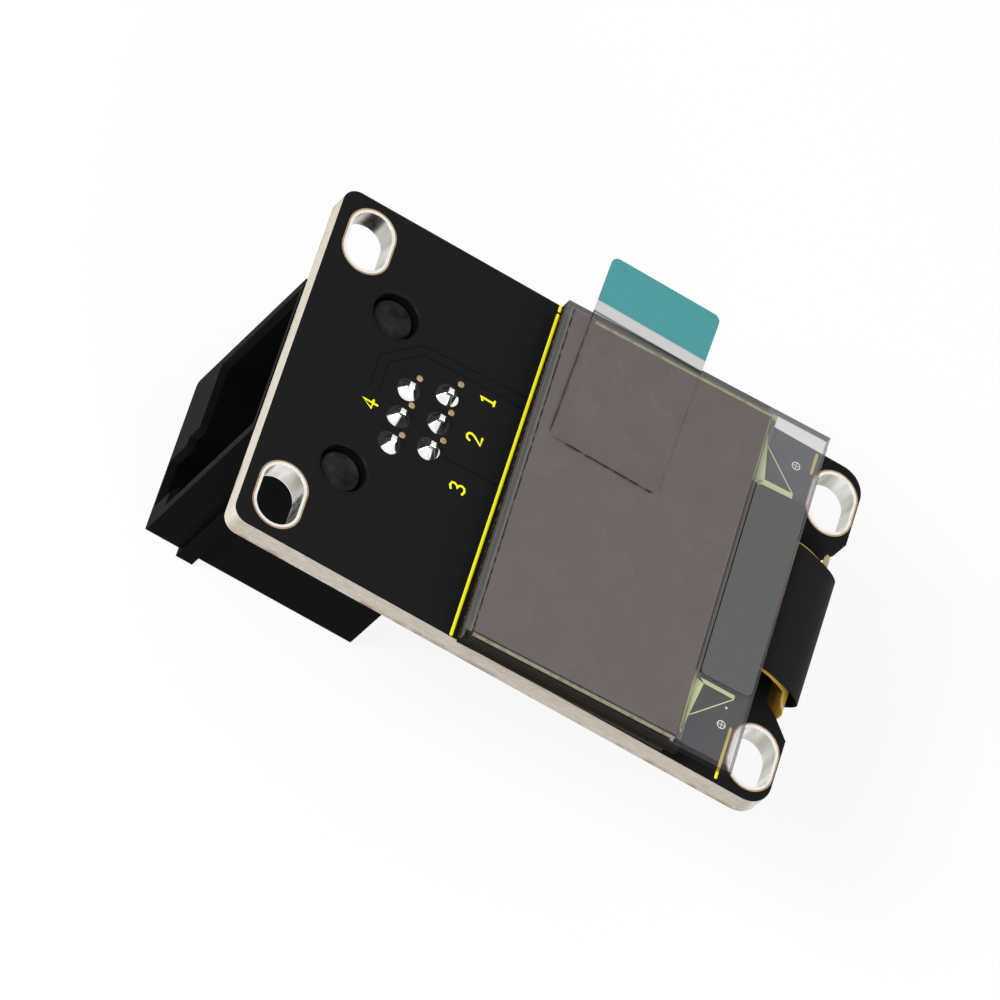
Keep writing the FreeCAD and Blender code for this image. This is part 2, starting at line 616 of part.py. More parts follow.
# Flex: an amber base film with a loose black cover outside its fold. It is bonded under the
# ledge, folds round the board's end and lies on the back with shoulders and a soldered bar.
# Each bend is a list of points on its outer face from the ledge to the back. A point has its
# share of the way from the glass's edge to the fold's tip, its share of the way up from the
# back to the ledge, and the direction that faces outward there.
BASE_BEND = [
    (-0.0, 1.0, -0.042, 0.999), (0.113, 0.985, -0.184, 0.983), (0.245, 0.945, -0.311, 0.95), (0.427, 0.861, -0.408, 0.913),
    (0.573, 0.775, -0.513, 0.858), (0.659, 0.706, -0.633, 0.774), (0.716, 0.643, -0.747, 0.665), (0.753, 0.587, -0.847, 0.531),
    (0.774, 0.538, -0.926, 0.378), (0.786, 0.494, -0.978, 0.21), (0.791, 0.443, -0.999, 0.037), (0.788, 0.382, -0.991, -0.133),
    (0.775, 0.313, -0.955, -0.296), (0.751, 0.242, -0.894, -0.448), (0.713, 0.171, -0.81, -0.586), (0.669, 0.11, -0.705, -0.71),
    (0.622, 0.064, -0.577, -0.816), (0.575, 0.032, -0.432, -0.902), (0.527, 0.011, -0.272, -0.962), (0.478, 0.0, -0.103, -0.995),
]
COVER_BEND = [
    (0.039, 1.026, -0.116, 0.993), (0.18, 0.996, -0.239, 0.971), (0.369, 0.929, -0.335, 0.942), (0.617, 0.816, -0.398, 0.917),
    (0.778, 0.725, -0.495, 0.869), (0.873, 0.652, -0.61, 0.792), (0.945, 0.578, -0.72, 0.694), (0.981, 0.527, -0.825, 0.565),
    (0.993, 0.503, -0.913, 0.408), (0.999, 0.485, -0.972, 0.235), (1.001, 0.47, -0.999, 0.052), (1.0, 0.453, -0.991, -0.132),
    (0.995, 0.43, -0.951, -0.309), (0.983, 0.398, -0.881, -0.473), (0.952, 0.343, -0.791, -0.612), (0.895, 0.272, -0.688, -0.726),
    (0.719, 0.1, -0.624, -0.781), (0.622, 0.018, -0.513, -0.859), (0.569, -0.012, -0.366, -0.931), (0.526, -0.027, -0.203, -0.979),
    (0.483, -0.033, -0.032, -0.999), (0.439, -0.03, 0.14, -0.99),
]
glass_edge = display_y - half_glass
bond_y = glass_edge + d.bond_long
edge_z = d.display_top - d.glass_thick - d.bond_gap + half_glass * d.display_slope
bond_z = edge_z - d.bond_long * d.display_slope
tip_y = far_edge - d.fold_proud
low_z = back - d.base_thick
mid = d.flex_shift


def strip(name, bend, thick, before, after, width):
    """Folded strip: its outer face runs through the points before the bend, the bend itself and
    the points after it, and its inner face lies one thickness inside."""
    made = body(name)
    outline = sketch(made, "YZ_Plane", f"{name}_outline", mid)
    outside, inside = list(before[0]), list(before[1])
    for share_y, share_z, side_y, side_z in bend:
        y = glass_edge + (tip_y - glass_edge) * share_y
        z = low_z + (edge_z - low_z) * share_z
        outside.append((y, z))
        inside.append((y - thick * side_y, z - thick * side_z))
    outside += after[0]
    inside += after[1]
    polygon(outline, outside + inside[::-1])
    grow(made, outline, width, f"{name}_fold", both=True)
    return made


bar_far = far_edge + d.bar_in
bar_near = bar_far + d.bar_long
half_wing, half_bar, half_neck, half_ear = d.wing_width / 2, d.bar_width / 2, d.flex_width / 2, d.ear_width / 2
wing_y = far_edge + d.wing_in
base = strip("flex_base", BASE_BEND, d.base_thick,
             ([(bond_y, bond_z)], [(bond_y, bond_z - d.base_thick)]),
             ([(bar_far, low_z)], [(bar_far, back + 0)]), d.ear_width)
ear_y = far_edge + d.ear_in
for side, sx in (("left", -1), ("right", 1)):
    sk = sketch(base, "XY_Plane", f"neck_outline_{side}")
    near_x, ear_x = mid + half_neck * sx, mid + half_ear * sx
    polygon(sk, [
        (near_x, bond_y + d.bond_long), (near_x, ear_y), (ear_x - d.ear_round * sx, ear_y),
        (ear_x - d.ear_round * 0.3 * sx, ear_y - d.ear_round * 0.3), (ear_x, ear_y - d.ear_round),
        (ear_x + d.ear_round * sx, ear_y - d.ear_round), (ear_x + d.ear_round * sx, bond_y + d.bond_long),
    ])
    cut(base, sk, (edge_z - low_z) * 4, f"neck_{side}", both=True)
sk = sketch(base, "XY_Plane", "flex_back_outline", back)
polygon(sk, [
    (mid - half_bar, bar_near), (mid - half_bar, bar_far), (mid - half_wing, bar_far),
    (mid - half_wing, wing_y), (mid + half_wing, wing_y),
    (mid + half_wing, bar_far), (mid + half_bar, bar_far), (mid + half_bar, bar_near),
])
grow(base, sk, d.base_thick, "flex_back", reverse=True)
skin_z = low_z - d.skin_gap
skin = strip("flex_cover", COVER_BEND, d.skin_thick, ([], []),
             ([(bar_far, skin_z - d.skin_thick)], [(bar_far, skin_z)]), d.skin_width)
sk = sketch(skin, "XY_Plane", "cover_back_outline", skin_z)
polygon(sk, [
    (mid - half_bar, bar_near - d.pads_long), (mid - half_bar, bar_far), (mid - half_wing, bar_far),
    (mid - half_wing, wing_y), (mid + half_wing, wing_y),
    (mid + half_wing, bar_far), (mid + half_bar, bar_far), (mid + half_bar, bar_near - d.pads_long),
])
grow(skin, sk, d.skin_thick, "cover_back", reverse=True)

# Small parts on the board's back, between the jack and the flex's bar: capacitors and
# resistors as ceramic blocks with an end cap at either end.
def chip_part(name, x, y, high, turned=False):
    made = body(name)
    half_long, half_wide = d.cap_long / 2, d.cap_wide / 2
    grown = half_wide + d.chip_cap
    outline = sketch(made, "XY_Plane", f"{name}_outline")
    box(outline, -half_long + d.chip_cap, half_long - d.chip_cap, -half_wide, half_wide)
    grow(made, outline, high, f"{name}_block", reverse=True)
    outline = sketch(made, "XY_Plane", f"{name}_caps")
    box(outline, -half_long, -half_long + d.chip_lead, -grown, grown)
    box(outline, half_long - d.chip_lead, half_long, -grown, grown)
    grow(made, outline, high + d.chip_cap, f"{name}_ends", reverse=True)
    made.Placement = FreeCAD.Placement(Vector(x.value, y.value, back.value),
                                       FreeCAD.Rotation(Vector(0, 0, 1), 90 if turned else 0))
    made.setExpression("Placement.Base.x", x.text)
    made.setExpression("Placement.Base.y", y.text)
    made.setExpression("Placement.Base.z", back.text)
    return made


row = bar_near + d.parts_low
places = [(d.parts_left + d.parts_pitch * i, row, True) for i in range(1, 6)]
CAPACITORS = [(d.parts_side, bar_near + d.parts_far, False), (d.parts_side, bar_near + d.parts_near, False)]
CAPACITORS += places[:2]
RESISTORS = places[2:] + [(d.parts_lone_x, bar_near + d.parts_lone_y, False)]
for number, (x, y, turned) in enumerate(CAPACITORS, start=1):
    chip_part(f"capacitor_{number}", x, y, d.cap_high, turned)
for number, (x, y, turned) in enumerate(RESISTORS, start=1):
    chip_part(f"resistor_{number}", x, y, d.res_high, turned)

# Regulator: a moulded block on three bent leads.
regulator = body("regulator")
half_long, half_wide = d.reg_long / 2, d.reg_wide / 2
reg_y = bar_near + d.reg_in
sk = sketch(regulator, "XY_Plane", "regulator_outline", back - d.reg_stand)
box(sk, d.parts_side - half_long, d.parts_side + half_long, reg_y - half_wide * 0.87, reg_y + half_wide * 0.87)
grow(regulator, sk, d.reg_high, "regulator_block", reverse=True)
dress(regulator, "Chamfer", "regulator_edges", d.lead_thick / 2,
      lambda m, e: near(m.z, (back - d.reg_stand - d.reg_high).value))
for number, (step, side) in enumerate([(-1, 1), (1, 1), (0, -1)], start=1):
    lead_x = d.parts_side + d.lead_pitch * step
    sk = sketch(regulator, "YZ_Plane", f"lead_outline_{number}", lead_x)
    toe = reg_y + d.lead_reach * side
    heel = reg_y + (half_wide + d.lead_thick) * side
    root = reg_y + half_wide * 0.8 * side
    high = back - d.reg_high * 0.55
    polygon(sk, [
        (toe, back + 0), (heel - d.lead_thick * side, back + 0),
        (heel - d.lead_thick * side, high + d.lead_thick), (root, high + d.lead_thick),
        (root, high), (heel, high), (heel, back - d.lead_thick), (toe, back - d.lead_thick),
    ])
    grow(regulator, sk, d.lead_wide, f"lead_{number}", both=True)

pieces = [o for o in doc.Objects if o.TypeId == "PartDesign::Body"]
doc.recompute()
for piece in doc.Objects:
    if "Invalid" in piece.State or "Error" in piece.State:
        raise RuntimeError(f"{piece.Name} has state {piece.State}")
for piece in pieces:
    piece.Label = piece.Name
    shape = piece.Shape
    if shape.isNull() or not shape.isValid() or len(shape.Solids) != 1:
        raise RuntimeError(f"{piece.Label} is not one valid solid: {len(shape.Solids)}")
    shape.exportStep(f"parts/{piece.Label}.step")
    b = shape.BoundBox
    print(f"{piece.Label:18s} x {b.XMin:7.2f} {b.XMax:7.2f}  y {b.YMin:7.2f} {b.YMax:7.2f}  "
          f"z {b.ZMin:7.2f} {b.ZMax:7.2f}  faces {len(shape.Faces)}")
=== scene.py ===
import math
import bpy
import bmesh
import numpy as np
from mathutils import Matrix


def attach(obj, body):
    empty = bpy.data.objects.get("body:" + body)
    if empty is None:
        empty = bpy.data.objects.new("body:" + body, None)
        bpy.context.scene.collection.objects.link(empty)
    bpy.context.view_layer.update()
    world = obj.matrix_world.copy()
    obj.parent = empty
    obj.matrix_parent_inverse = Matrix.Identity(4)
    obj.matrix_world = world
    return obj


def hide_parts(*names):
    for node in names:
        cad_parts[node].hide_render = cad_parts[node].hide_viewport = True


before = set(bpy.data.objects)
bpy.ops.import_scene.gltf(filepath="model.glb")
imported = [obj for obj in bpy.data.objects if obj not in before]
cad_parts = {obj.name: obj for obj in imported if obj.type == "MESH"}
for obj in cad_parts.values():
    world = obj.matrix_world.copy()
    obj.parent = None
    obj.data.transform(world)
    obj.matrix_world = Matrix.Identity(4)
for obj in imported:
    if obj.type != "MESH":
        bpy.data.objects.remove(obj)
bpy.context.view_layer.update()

# Circuit board: woven glass laminate pressed with a black solder mask on both faces and
# routed to its outline, which leaves the pale fibre bare on its outer cut edges; the walls of
# its holes and notch are painted near black as painted shade. Sizes here and below are in
# mm, and z = 0 is the board's front face.
MM = 0.001
THICK = 1.6
MASK_SKIN = 0.045
CUT_SIDE, CUT_MOUTH, CUT_FOOT = 11.5, 18.6, -19.04
SCORCH_FROM, SCORCH_FULL = -1.1, -1.5
MOUTH_FROM, MOUTH_FULL, SHADED_FROM, SHADED_FULL = 18.2, 19.6, -12.9, -13.25


class Wire:
    """A node's output. Python's operators on it add the Math node of the same name."""

    def __init__(self, net, socket):
        self.net, self.socket = net, socket

    def beside(self, output):
        """Another output of the same node."""
        return Wire(self.net, self.socket.node.outputs[output])

    def _with(self, operation, *values):
        return self.net.node("ShaderNodeMath", {"operation": operation}, values)

    def __add__(self, other):
        return self._with("ADD", self, other)

    def __radd__(self, other):
        return self._with("ADD", other, self)

    def __sub__(self, other):
        return self._with("SUBTRACT", self, other)

    def __rsub__(self, other):
        return self._with("SUBTRACT", other, self)

    def __mul__(self, other):
        return self._with("MULTIPLY", self, other)

    def __rmul__(self, other):
        return self._with("MULTIPLY", other, self)

    def __lt__(self, other):
        return self._with("LESS_THAN", self, other)

    def __gt__(self, other):
        return self._with("GREATER_THAN", self, other)

    def __pow__(self, other):
        return self._with("POWER", self, other)

    def __abs__(self):
        return self._with("ABSOLUTE", self)

    def top(self, other):
        return self._with("MAXIMUM", self, other)


class Net:
    """A tree of shader nodes, in which one method makes every node."""

    def __init__(self, tree):
        self.tree = tree

    def node(self, kind, settings, values, output=0):
        """Adds a node of this type: first its settings, then a value or a link for each input."""
        made = self.tree.nodes.new(kind)
        for name, value in settings.items():
            if name == "stops":
                ramp = made.color_ramp
                while len(ramp.elements) < len(value):
                    ramp.elements.new(0.5)
                for element, (place, colour) in zip(ramp.elements, value):
                    element.position, element.color = place, (*colour, 1)
            else:
                setattr(made, name, value)
        pairs = values.items() if isinstance(values, dict) else enumerate(values)
        for place, value in pairs:
            if isinstance(value, Wire):
                self.tree.links.new(value.socket, made.inputs[place])
            elif isinstance(value, tuple) and made.inputs[place].type == "RGBA":
                made.inputs[place].default_value = (*value, 1)
            else:
                made.inputs[place].default_value = value
        return Wire(self, made.outputs[output])

    def level(self, wire, low, high, out_low=0.0, out_high=1.0):
        """Straight line from out_low at low to out_high at high, held beyond both."""
        inputs = [wire, low, high, out_low, out_high]
        return self.node("ShaderNodeMapRange", {"clamp": True}, inputs)


class Finish(Net):
    """A material. Its Principled shader has plain values, and wires feed its patterns."""

    def __init__(self, name, colour, **shader):
        self.material = bpy.data.materials.new(name)
        self.material.use_nodes = True
        super().__init__(self.material.node_tree)
        self.skin = self.tree.nodes["Principled BSDF"]
        self.skin.inputs["Base Color"].default_value = (*colour, 1)
        for socket, value in shader.items():
            self.skin.inputs[socket.replace("_", " ")].default_value = value

    def place(self):
        """Object coordinates in mm: the vector, and its x, y and z."""
        metres = self.node("ShaderNodeTexCoord", {}, {}, "Object")
        inputs = {0: metres, "Scale": 1 / MM}
        spot = self.node("ShaderNodeVectorMath", {"operation": "SCALE"}, inputs)
        x = self.node("ShaderNodeSeparateXYZ", {}, [spot])
        return spot, [x, x.beside("Y"), x.beside("Z")]

    def stretch(self, spot, factors):
        """Each coordinate times its factor, so that a pattern runs along the smallest."""
        return self.node("ShaderNodeVectorMath", {"operation": "MULTIPLY"}, [spot, factors])

    def noise(self, spot, scale, detail=3.0, rough=0.5):
        inputs = {"Vector": spot, "Scale": scale, "Detail": detail, "Roughness": rough}
        return self.node("ShaderNodeTexNoise", {}, inputs, "Fac")

    def ramp(self, wire, *stops):
        return self.node("ShaderNodeValToRGB", {"stops": stops}, [wire])

    def blend(self, share, first, second, how="MIX"):
        """The first colour, and the second by share."""
        settings = {"data_type": "RGBA", "blend_type": how}
        return self.node("ShaderNodeMix", settings, {0: share, 6: first, 7: second}, 2)

    def feed(self, name, wire):
        self.tree.links.new(wire.socket, self.skin.inputs[name])

    def bump(self, height, strength, distance):
        inputs = {"Strength": strength, "Distance": distance, "Height": height}
        self.feed("Normal", self.node("ShaderNodeBump", {}, inputs))


def add_piece(name, mesh, finish):
    """Puts a finished mesh in the scene as a piece of the one body."""
    mesh.materials.append(finish.material)
    made = bpy.data.objects.new(name, mesh)
    bpy.context.scene.collection.objects.link(made)
    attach(made, "root")
    return made


def crisp(node, width, segments, finish, angle=30, clearance=0.0):
    """The CAD node's own shape with its sharp edges broken: loose triangles are merged, flat
    neighbours joined, and each edge sharper than the angle gets a small round. Sheets that lie
    on one another draw back from their faces by the clearance, z - clearance * sign(n_z)."""
    shape = bmesh.new()
    shape.from_mesh(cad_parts[node].data)
    bmesh.ops.remove_doubles(shape, verts=shape.verts, dist=2e-6)
    flat = math.radians(0.6)
    bmesh.ops.dissolve_limit(shape, angle_limit=flat, verts=shape.verts, edges=shape.edges)
    bmesh.ops.recalc_face_normals(shape, faces=shape.faces)
    mesh = bpy.data.meshes.new(node + "_shown")
    shape.to_mesh(mesh)
    shape.free()
    if clearance:
        points = np.empty(len(mesh.vertices) * 3)
        facing = np.empty_like(points)
        mesh.vertices.foreach_get("co", points)
        mesh.vertices.foreach_get("normal", facing)
        points[2::3] -= np.sign(facing[2::3]) * clearance * MM
        mesh.vertices.foreach_set("co", points)
        mesh.update()
    mesh.shade_smooth()
    mesh.set_sharp_from_angle(angle=math.radians(angle))
    made = add_piece(node + "_shown", mesh, finish)
    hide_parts(node)
    if width:
        edge = made.modifiers.new("edges", "BEVEL")
        edge.width, edge.segments = width * MM, segments
        edge.limit_method, edge.angle_limit = "ANGLE", math.radians(angle)
        edge.harden_normals = True


mask = Finish("black_mask", (0.009, 0.009, 0.0092), Roughness=0.42, Specular_IOR_Level=0.03)
spot, (px, py, pz) = mask.place()
within = abs(pz + THICK / 2) < THICK / 2 - MASK_SKIN
outer = (abs(px) > CUT_SIDE).top(py > CUT_MOUTH).top(CUT_FOOT > py)
cut_edge = within * outer
weave = mask.node("ShaderNodeTexWave", {"wave_type": "BANDS", "bands_direction": "Z"},
                  {"Vector": spot, "Scale": 2.6, "Distortion": 0.8, "Detail": 2.0,
                   "Detail Scale": 3.0}, "Fac")
fibre = mask.noise(mask.stretch(spot, (0.7, 0.7, 9.0)), 2.0, 6.0, 0.7)
scorch = mask.level(mask.noise(spot, 0.45, 4.0, 0.6), 0.50, 0.62)
pale = mask.ramp(fibre * 0.8 + weave * 0.25, (0.25, (0.34, 0.31, 0.26)),
                 (0.48, (0.60, 0.58, 0.53)), (0.75, (0.86, 0.85, 0.81)))
pale = mask.blend(scorch * mask.level(pz, SCORCH_FROM, SCORCH_FULL), pale, (0.40, 0.33, 0.24))
mouth_share = mask.level(py, MOUTH_FROM, MOUTH_FULL, 0.0, 0.4)
pale = mask.blend(mouth_share, pale, (0.40, 0.34, 0.22))
shaded_share = mask.level(px, SHADED_FROM, SHADED_FULL)
pale = mask.blend(shaded_share, pale, (0.65, 0.60, 0.565), "MULTIPLY")
grain = mask.noise(spot, 9.0, 4.0)
dark = mask.blend(grain, (0.0078, 0.0078, 0.0080), (0.0112, 0.0112, 0.0115))
# Laminate walls away from the outer edges, in the holes and the notch, are painted near black:
# painted shade.
dark = mask.blend(within, dark, (0.003, 0.003, 0.003))
mask.feed("Base Color", mask.blend(cut_edge, dark, pale))
mask.feed("Roughness", within * 0.4 + mask.level(grain, 0.3, 0.7, 0.36, 0.46))
mask.bump(cut_edge * fibre + (1 - cut_edge) * grain * 0.12, 0.35, 0.00004)
crisp("pcb_board", 0.03, 1, mask)

# Silk print: yellow ink strokes screened on the mask. Two lines cross the board beside the
# display, and four small figures number the jack's pins.
INK_HIGH = 0.02
LINE_WIDE, LEDGE_LINE_WIDE, FIGURE_WIDE = 0.22, 0.21, 0.16
LINE_Y, LEDGE_INK_Y, LEDGE_INK_X = 3.98, -15.0, -12.25
FIGURE_SIZE = (0.78, 1.05)
ink = Finish("yellow_ink", (1.0, 0.93, 0.006), Roughness=0.45, Specular_IOR_Level=0.3)
ink_spot, (ix, iy, _) = ink.place()
thin = (LEDGE_INK_Y > iy) * (ix > LEDGE_INK_X)
ink_tone = ink.blend(ink.noise(ink_spot, 6.0, 3.0), (0.97, 0.88, 0.010), (1.0, 0.98, 0.02))
ink.feed("Base Color", ink.blend(thin, ink_tone, (0.72, 0.50, 0.06)))


def stroke(path, width, height):
    """A low rounded strip on the board along a flat path: at each station the section is
    z = height * (1 - t^4), with t from -1 to 1 across the width, and both ends close as half
    circles of the strip's own width."""
    path = np.asarray(path, float)
    ahead = np.gradient(path, axis=0)
    ahead /= np.linalg.norm(ahead, axis=1)[:, None]
    turn = np.linspace(0, math.pi / 2, 7)
    more = len(turn) - 1
    lead = np.cos(turn)[:, None] * ahead[0] * -width / 2 + path[0]
    tail = np.cos(turn[::-1])[:, None] * ahead[-1] * width / 2 + path[-1]
    line = np.vstack([lead[:-1], path, tail[1:]])
    way = np.vstack([np.repeat(ahead[:1], more, 0), ahead, np.repeat(ahead[-1:], more, 0)])
    half = np.concatenate([np.sin(turn)[:-1], np.ones(len(path)), np.sin(turn[::-1])[1:]])
    half *= width / 2
    t = np.array([-1, -0.8, 0, 0.8, 1])
    side = np.stack([-way[:, 1], way[:, 0]], 1)
    flat = line[:, None, :] + side[:, None, :] * (half[:, None] * t)[:, :, None]
    z = height * (1 - t ** 4) * np.ones((len(line), 1))
    return np.dstack([flat, z])


def faced_piece(name, points, faces, finish):
    """A piece from points in mm and faces: points that meet are merged, and the faces are
    turned outwards."""
    mesh = bpy.data.meshes.new(name)
    mesh.from_pydata((points * MM).tolist(), [], faces)
    shape = bmesh.new()
    shape.from_mesh(mesh)
    bmesh.ops.remove_doubles(shape, verts=shape.verts, dist=1e-7)
    bmesh.ops.recalc_face_normals(shape, faces=shape.faces)
    shape.to_mesh(mesh)
    shape.free()
    return add_piece(name, mesh, finish)


def sheet_mesh(name, grids, finish, closed_u=False, flip=False):
    """Joins grids of points (rows x columns x 3, in mm) into one smooth mesh of quads."""
    verts, faces, base = [], [], 0
    for grid in grids:
        rows, cols = grid.shape[:2]
        index = np.arange(rows * cols).reshape(rows, cols) + base
        after = np.roll(index, -1, 1) if closed_u else index[:, 1:]
        now = index if closed_u else index[:, :-1]
        quad = np.stack([now[:-1], after[:-1], after[1:], now[1:]], -1).reshape(-1, 4)
        faces.append(quad[:, ::-1] if flip else quad)
        verts.append(grid.reshape(-1, 3))
        base += rows * cols
    made = faced_piece(name, np.vstack(verts), np.vstack(faces).tolist(), finish)
    made.data.shade_smooth()
    return made


lines = [
    ((-13.15, LINE_Y), (12.5, LINE_Y), LINE_WIDE),
    ((12.85, LINE_Y), (13.2, LINE_Y), LINE_WIDE),
    ((-12.9, -15.36), (-9.1, -15.36), LEDGE_LINE_WIDE),
    ((11.5, -15.4), (13.0, -15.4), LEDGE_LINE_WIDE),
]
figures = [
    ((-1.1, 13.3), [[(0.62, 0.0), (0.62, 1.0), (0.1, 0.3), (0.88, 0.3)]]),
    ((-3.5, 6.1), [[(0.14, 0.9), (0.4, 1.0), (0.7, 0.93), (0.76, 0.74), (0.62, 0.57), (0.4, 0.53),
                    (0.68, 0.46), (0.82, 0.26), (0.7, 0.07), (0.4, 0.0), (0.1, 0.1)]]),
    ((0.45, 6.1), [[(0.12, 0.76), (0.22, 0.93), (0.45, 1.0), (0.7, 0.93), (0.8, 0.74),
                    (0.7, 0.52), (0.12, 0.0), (0.84, 0.0)]]),
    ((3.55, 6.1), [[(0.28, 0.78), (0.5, 1.0), (0.5, 0.0)], [(0.28, 0.0), (0.72, 0.0)]]),
]
prints = [stroke([a, b], width, INK_HIGH) for a, b, width in lines]
prints += [stroke(np.array(path) * FIGURE_SIZE + corner, FIGURE_WIDE, INK_HIGH)
           for corner, paths in figures for path in paths]
sheet_mesh("silk_print", prints, ink)

# Tracks under the mask: copper ribbons that show only as faint ridges in the black film,
# and small tented via holes whose plated rims are bare.
TRACK_WIDE, TRACK_HIGH = 0.14, 0.012
raised = Finish("mask_over_copper", (0.004, 0.004, 0.004), Roughness=0.36, Specular_IOR_Level=0.05)
raised_spot, _ = raised.place()
raised.feed("Base Color", raised.blend(raised.noise(raised_spot, 9.0), (0.0030, 0.0030, 0.0031),
                                       (0.0048, 0.0048, 0.0050)))
tracks = [
    [(0.4, 14.2), (3.0, 14.2), (5.25, 11.7), (5.6, 4.35)],
    [(0.5, 13.5), (2.7, 13.5), (4.6, 11.45), (4.7, 4.35)],
    [(-1.6, 8.2), (-1.5, 4.35)],
]
ridges = [stroke(track, TRACK_WIDE, TRACK_HIGH) for track in tracks]
sheet_mesh("mask_ridges", ridges, raised)
bare = Finish("bare_copper", (0.72, 0.50, 0.24), Metallic=1.0, Roughness=0.4)
bare_spot, _ = bare.place()
bare.feed("Base Color", bare.blend(bare.noise(bare_spot, 3.0, 3.0), (0.22, 0.14, 0.06),
                                   (0.62, 0.46, 0.27)))


def turned(x, y, radii, heights, count=32, reach=0.0):
    """Profile of radii and heights swept about an upright axis through (x, y), in count steps:
    x + r cos a, y + r sin a. A reach pulls the circles apart along X into stadium outlines."""
    r, z = np.asarray(radii, float)[:, None], np.asarray(heights, float)[:, None]
    angle = np.linspace(0, 2 * math.pi, count, endpoint=False)
    push = np.where(np.cos(angle) >= 0, reach, -reach)
    return np.dstack([x + push + r * np.cos(angle), y + r * np.sin(angle),
                      np.repeat(z, count, 1)])


vias = [(2.82, 11.24), (0.7, 11.17), (-1.67, 11.13), (4.0, 8.56), (1.7, 8.57), (-0.49, 8.48)]
via_line = (0.0, 0.05, 0.1, 0.19, 0.22), (0.0, 0.006, 0.02, 0.024, 0.0)
via_rims = [turned(x, y, *via_line) for x, y in vias]
sheet_mesh("via_rims", via_rims, bare, closed_u=True)

# Peg holes: two round holes drilled through the laminate beside the jack's tails. They are
# left unplated, and the mask is drawn back to a low glossy lip round each.
PEG_X, PEG_Y = 6.125, 14.04
lip = Finish("mask_lip", (0.004, 0.004, 0.004), Roughness=0.25, Specular_IOR_Level=0.08)
lip_spot, _ = lip.place()
lip.feed("Roughness", lip.level(lip.noise(lip_spot, 3.0, 4.0), 0.3, 0.7, 0.18, 0.4))
lip_line = (1.61, 1.63, 1.67, 1.74, 1.80), (-0.05, 0.02, 0.035, 0.025, 0.0)
lips = [turned(x, PEG_Y, *lip_line) for x in (-PEG_X, PEG_X)]
sheet_mesh("peg_hole_lips", lips, lip, closed_u=True)

# Plated slots: copper barrels with a ring on each face, dipped in tin, so the ring shines and a
# thin line of bare gold-brown copper is left where the mask stops.
SLOT_X, SLOT_Y, SLOT_REACH = 10.2, 17.3, 0.72
RING_OUTER, RING_INNER, RING_BASE, RING_HIGH = 1.72, 1.57, 0.03, 0.014
tin = Finish("tinned_copper", (0.86, 0.85, 0.82), Metallic=1.0, Roughness=0.24)
tin_spot, (_, _, tin_z) = tin.place()
mottle = tin.noise(tin_spot, 1.6, 5.0, 0.6)
# The barrel walls get a darker, streaky tone than the rings: painted shade inside the slots, with
# painted highlights along the streaks.
runs = tin.noise(tin.stretch(tin_spot, (1.0, 1.0, 0.25)), 0.7, 2.0, 0.4)
shaded_barrel_wall = tin.ramp(runs, (0.30, (0.34, 0.31, 0.26)), (0.44, (0.50, 0.47, 0.42)),
                  (0.56, (0.62, 0.60, 0.56)), (0.70, (0.93, 0.93, 0.92)))
tin_face = tin.ramp(mottle, (0.25, (0.55, 0.47, 0.34)), (0.42, (0.84, 0.82, 0.78)),
                    (1.0, (0.97, 0.97, 0.96)))
tin.feed("Base Color", tin.blend(tin.level(abs(tin_z + THICK / 2), 0.72, 0.82), shaded_barrel_wall, tin_face))
tin.feed("Roughness", tin.level(mottle, 0.3, 0.7, 0.38, 0.2))
tin.bump(mottle, 0.3, 0.00005)
for number in range(1, 5):
    crisp(f"slot_plating_{number}", 0.02, 2, tin, angle=50)


def slot_ring(x, y):
    """Flat ring round a slot that runs along X: a low arch z = base + height sin(pi t) from the
    outer to the inner radius, swept along a stadium outline."""
    t = np.linspace(0, 1, 5)
    radii = RING_OUTER + (RING_INNER - RING_OUTER) * t
    heights = RING_BASE + RING_HIGH * np.sin(math.pi * t)
    return turned(x, y, radii, heights, 64, SLOT_REACH)


rims = [slot_ring(x, y) for x in (-SLOT_X, SLOT_X) for y in (-SLOT_Y, SLOT_Y)]
sheet_mesh("slot_rims", rims, bare, closed_u=True)

# Jack: the housing, its contact block and the pegs are moulded in black plastic with a fine
# spark-eroded texture. The pegs press through the board and are rubbed grey at their ends.
PEG_ZONE = -1.55
moulded = Finish("moulded_black", (0.003, 0.003, 0.003), Roughness=0.5, Specular_IOR_Level=0.015)
moulded_spot, (_, _, moulded_z) = moulded.place()
pits = moulded.noise(moulded_spot, 9.0, 6.0, 0.6)
shell = moulded.blend(pits, (0.0014, 0.0014, 0.0014), (0.0034, 0.0034, 0.0034))
rubbed = moulded.level(moulded.noise(moulded_spot, 1.0, 3.0), 0.3, 0.75)
peg_tone = moulded.blend(rubbed, (0.009, 0.009, 0.009), (0.030, 0.030, 0.029))
moulded.feed("Base Color", moulded.blend(moulded_z > PEG_ZONE, shell, peg_tone))
moulded.feed("Roughness", moulded.level(pits, 0.3, 0.7, 0.42, 0.6))
moulded.bump(pits, 0.25, 0.00006)
crisp("jack_housing", 0.09, 2, moulded)
crisp("contact_block", 0.06, 2, moulded)

# Contacts: six phosphor-bronze springs, nickel plated with a gold flash. Their tails come
# through the board, are cut to a blunt point and take the solder's tin.
TINNED_ZONE = -1.5
gilt = Finish("gold_flash", (0.90, 0.70, 0.36), Metallic=1.0, Roughness=0.22)
gilt_spot, (_, _, gilt_z) = gilt.place()
streak = gilt.noise(gilt.stretch(gilt_spot, (6.0, 6.0, 1.0)), 2.0, 3.0)
gold = gilt.blend(streak, (0.74, 0.52, 0.22), (0.95, 0.77, 0.44))
gilt.feed("Base Color", gilt.blend(gilt_z > TINNED_ZONE, gold, (0.80, 0.79, 0.77)))
gilt.feed("Roughness", gilt.level(streak, 0.3, 0.7, 0.17, 0.3))
for number in range(1, 7):
    crisp(f"jack_contact_{number}", 0.04, 2, gilt)
